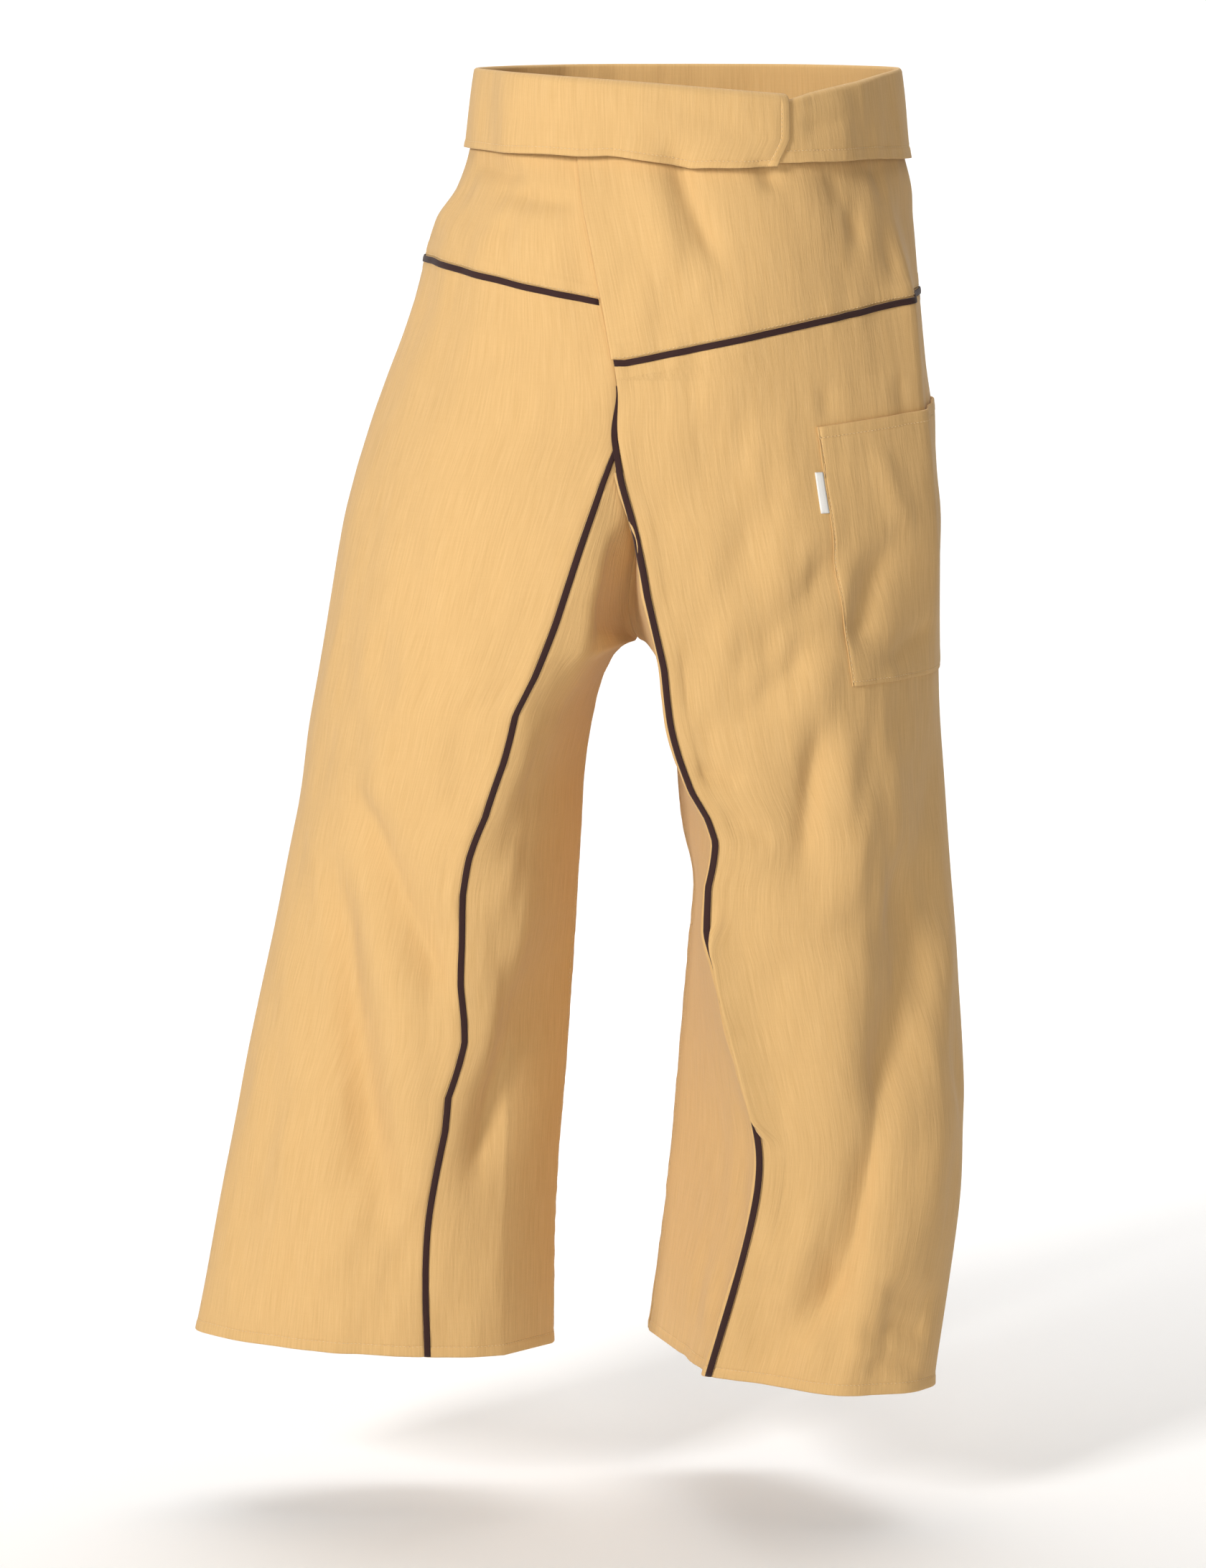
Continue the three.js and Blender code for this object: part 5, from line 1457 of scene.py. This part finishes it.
    def build_waist(self) -> None:
        """The waistband, the tie under it and the knot."""
        band, below = waistband()
        flap = band[-FLAP_ROWS:]
        outer = hem_relief(flap[:, :below], "b", LAP_HEM)
        under = hem_relief(flap[:, below:], "b", BELOW_HEM)
        band = np.concatenate([band[:-FLAP_ROWS], np.concatenate([outer, under], axis=1)])
        obj = self.shop.grid("waistband_cloth", band, CLOTH, COTTON, closed=True)
        self.shop.place(obj, Slot.COTTON, ["waistband"])
        self.cuts["waistband"].declare(obj, "folded")
        half = len(column_shares(Side.RIGHT, 0.0)[0]) + 26
        self.sew(outer[:, :half], "b", LAP_HEM)
        self.sew(under[:, under.shape[1] // 5:], "b", BELOW_HEM)
        end = half - 3
        self.sew(outer[:, end - 6:end + 1], "l", 0.1)
        tie = waist_tie()
        obj = self.shop.grid("waist_tie_cloth", tie, 1.1, COTTON, closed=True)
        self.shop.place(obj, Slot.COTTON, ["waist_tie"])
        self.cuts["waist_tie"].declare(obj, "stretched")
        front = np.where(tie[0, :, 1] < 0, np.abs(tie[0, :, 0] - KNOT_X), np.inf)
        i = int(np.argmin(front))
        pad = tie[1:-1, i - 3:i + 4]
        normals = grid_normals(pad)
        round_off = np.sin(np.linspace(0.15, np.pi - 0.15, pad.shape[1]))[None, :, None]
        knot = self.shop.grid("tie_knot_cloth", pad + normals * (1.2 + 1.0 * round_off), 1.4, COTTON)
        self.shop.place(knot, Slot.COTTON, ["tie_knot"])

    def build_pocket(self) -> None:
        """The patch pocket round the left thigh and its blank tab."""
        leg = self.leg_grids[Side.LEFT]
        first, wide = LEFT_COLUMNS[0], LEFT_COLUMNS[1]
        normals = grid_normals(leg)
        both = np.concatenate([leg, normals], axis=2)[:, first:first + wide + 1]
        share = np.linspace(0, 1, wide + 1)
        top = POCKET_TOP + POCKET_RISE * np.minimum(share * 8 / 5, 1.2)
        rows = np.linspace(0, 1, 44)
        found = np.empty((len(rows), wide + 1, 6))
        for i in range(wide + 1):
            z = mix(top[i], POCKET_BOTTOM, rows)
            for c in range(6):
                found[:, i, c] = np.interp(-z, -both[:, i, 2], both[:, i, c])
        inset = np.sin(np.pi * share)[None, :] ** 0.5
        gape = POCKET_GAPE * inset * np.exp(-rows[:, None] / 0.10)
        belly = 0.7 * inset * np.sin(np.pi * rows[:, None]) ** 0.6
        out = CLOTH + 0.15 + gape + belly
        grid = found[..., :3] + found[..., 3:] * out[..., None]
        for edge, inset_mm in POCKET_HEMS:
            grid = edged(grid, edge, hem_marks(inset_mm))
        shaped = seam_relief(grid, "bfl")
        for edge, inset_mm in POCKET_HEMS:
            shaped = hem_relief(shaped, edge, inset_mm, 0.25, 0.4)
        hem = hemmed(shaped[::-1], HEM)[::-1]
        obj = self.shop.grid("pocket_cloth", hem, CLOTH, COTTON)
        self.shop.place(obj, Slot.COTTON, ["pocket"])
        self.cuts["pocket"].declare(obj, "hung", [self.build_tab(leg, both[:, 0])])
        for edge, inset_mm in POCKET_HEMS:
            self.sew(shaped, edge, inset_mm)

    def build_tab(self, leg: Array, edge: Array) -> bpy.types.Object:
        """The small folded tab at the pocket's front edge, left blank."""
        z = np.linspace(TAB_TOP, TAB_BOTTOM, 12)
        start = np.stack([np.interp(-z, -edge[:, 2], edge[:, c]) for c in range(6)], -1)
        first = LEFT_COLUMNS[0]
        beside = np.stack([np.interp(-z, -leg[:, first - 4, 2], leg[:, first - 4, c]) for c in range(3)], -1)
        way = beside - start[:, :3]
        way /= length_of(way)
        out = np.linspace(0.4, TAB_WIDE, 6)
        lift = CLOTH / 2 + 0.5 + 0.35 * np.sin(out / TAB_WIDE * np.pi)
        flat = start[:, None, :3] + way[:, None] * out[None, :, None]
        raised = flat + start[:, None, 3:] * lift[None, :, None]
        obj = self.shop.grid("pocket_tab_tape", raised, TAB_THICK, TAPE)
        return self.shop.place(obj, Slot.LABEL, ["pocket_tab"])

    def build(self) -> None:
        """Builds every piece."""
        self.build_legs()
        self.build_yokes()
        self.build_waist()
        self.build_pocket()
        seams = self.shop.stitches("stitching", self.stitch_lines)
        self.shop.place(seams, Slot.COTTON)


@dataclass(frozen=True)
class Lamp:
    """A soft area light."""

    name: str
    place: tuple[float, float, float]
    aim: tuple[float, float, float]
    size: float
    power: float
    color: tuple[float, float, float] = (1.0, 1.0, 1.0)

    def hang(self) -> None:
        """Adds the light to the scene."""
        data = bpy.data.lights.new(self.name, "AREA")
        data.shape = "SQUARE"
        data.size = self.size
        data.energy = self.power
        data.color = self.color
        obj = bpy.data.objects.new(self.name, data)
        obj.location = self.place
        obj.rotation_euler = (Vector(self.aim) - Vector(self.place)).to_track_quat("-Z", "Y").to_euler()
        bpy.context.scene.collection.objects.link(obj)


# The camera and the floor, in metres
LENS, SENSOR = 129.68, 36.0
EYE, AIM = (-0.06264, -4.2, 0.1), (-0.06264, 0, -0.53838)
FLOOR_Z = -1.09


def set_camera() -> None:
    """Places the camera where the photograph was taken from."""
    data = bpy.data.cameras.new("photo_camera")
    data.lens = LENS
    data.sensor_width = SENSOR
    data.clip_end = 50.0
    cam = bpy.data.objects.new("photo_camera", data)
    eye, aim = Vector(EYE), Vector(AIM)
    cam.location = eye
    cam.rotation_euler = (aim - eye).to_track_quat("-Z", "Y").to_euler()
    bpy.context.scene.collection.objects.link(cam)
    bpy.context.scene.camera = cam


def set_stage() -> None:
    """A plain pale floor that runs up into a backdrop, well clear of the hanging garment."""
    profile = [(-7.0, FLOOR_Z), (3.2, FLOOR_Z)]
    bend = np.linspace(0.1, math.pi / 2, 12)
    profile += [(3.2 + 1.2 * math.sin(a), 0.11 - 1.2 * math.cos(a)) for a in bend]
    profile += [(4.4, 6.0)]
    points = [(x, y, z) for y, z in profile for x in (-8.0, 8.0)]
    faces = [(2 * k, 2 * k + 1, 2 * k + 3, 2 * k + 2) for k in range(len(profile) - 1)]
    mesh = bpy.data.meshes.new("studio_floor")
    mesh.from_pydata(points, [], faces)
    mesh.polygons.foreach_set("use_smooth", np.ones(len(faces), bool))
    floor = bpy.data.objects.new("studio_floor", mesh)
    bpy.context.scene.collection.objects.link(floor)
    paper = bpy.data.materials.new("studio_paper")
    paper.use_nodes = True
    shader = paper.node_tree.nodes["Principled BSDF"]
    shader.inputs["Base Color"].default_value = (0.93, 0.93, 0.93, 1)
    shader.inputs["Roughness"].default_value = 0.95
    shader.inputs["Specular IOR Level"].default_value = 0.1
    mesh.materials.append(paper)


def set_light() -> None:
    """A key light from the viewer's left, soft light from ahead, weak fill and an even backdrop."""
    bpy.context.scene.view_settings.view_transform = "Standard"
    world = bpy.data.worlds.new("studio")
    world.use_nodes = True
    back = world.node_tree.nodes["Background"]
    back.inputs[0].default_value = (1.0, 0.93, 0.84, 1)
    back.inputs[1].default_value = 0.09
    bpy.context.scene.world = world
    middle = (-0.06, 0.0, -0.5)
    Lamp("key", (-2.38, -3.0, 1.1), middle, 0.9, 126.0, (1.0, 0.99, 0.97)).hang()
    Lamp("front", (0.4, -4.0, 0.6), middle, 1.4, 44.0, (1.0, 0.95, 0.88)).hang()
    Lamp("fill", (2.0, -2.0, -0.9), middle, 2.2, 1.5, (1.0, 0.80, 0.56)).hang()
    Lamp("floor", (0.3, 0.9, 2.2), (0.1, 0.1, FLOOR_Z), 3.4, 46.0).hang()
    Lamp("backdrop", (0.0, 1.6, 2.4), (0.0, 4.2, 0.2), 3.0, 100.0).hang()


def main() -> None:
    """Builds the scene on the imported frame."""
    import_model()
    set_camera()
    set_stage()
    set_light()
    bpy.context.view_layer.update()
    Trousers(Workshop()).build()
    log.info("sizes written")


if __name__ == "__main__":
    main()
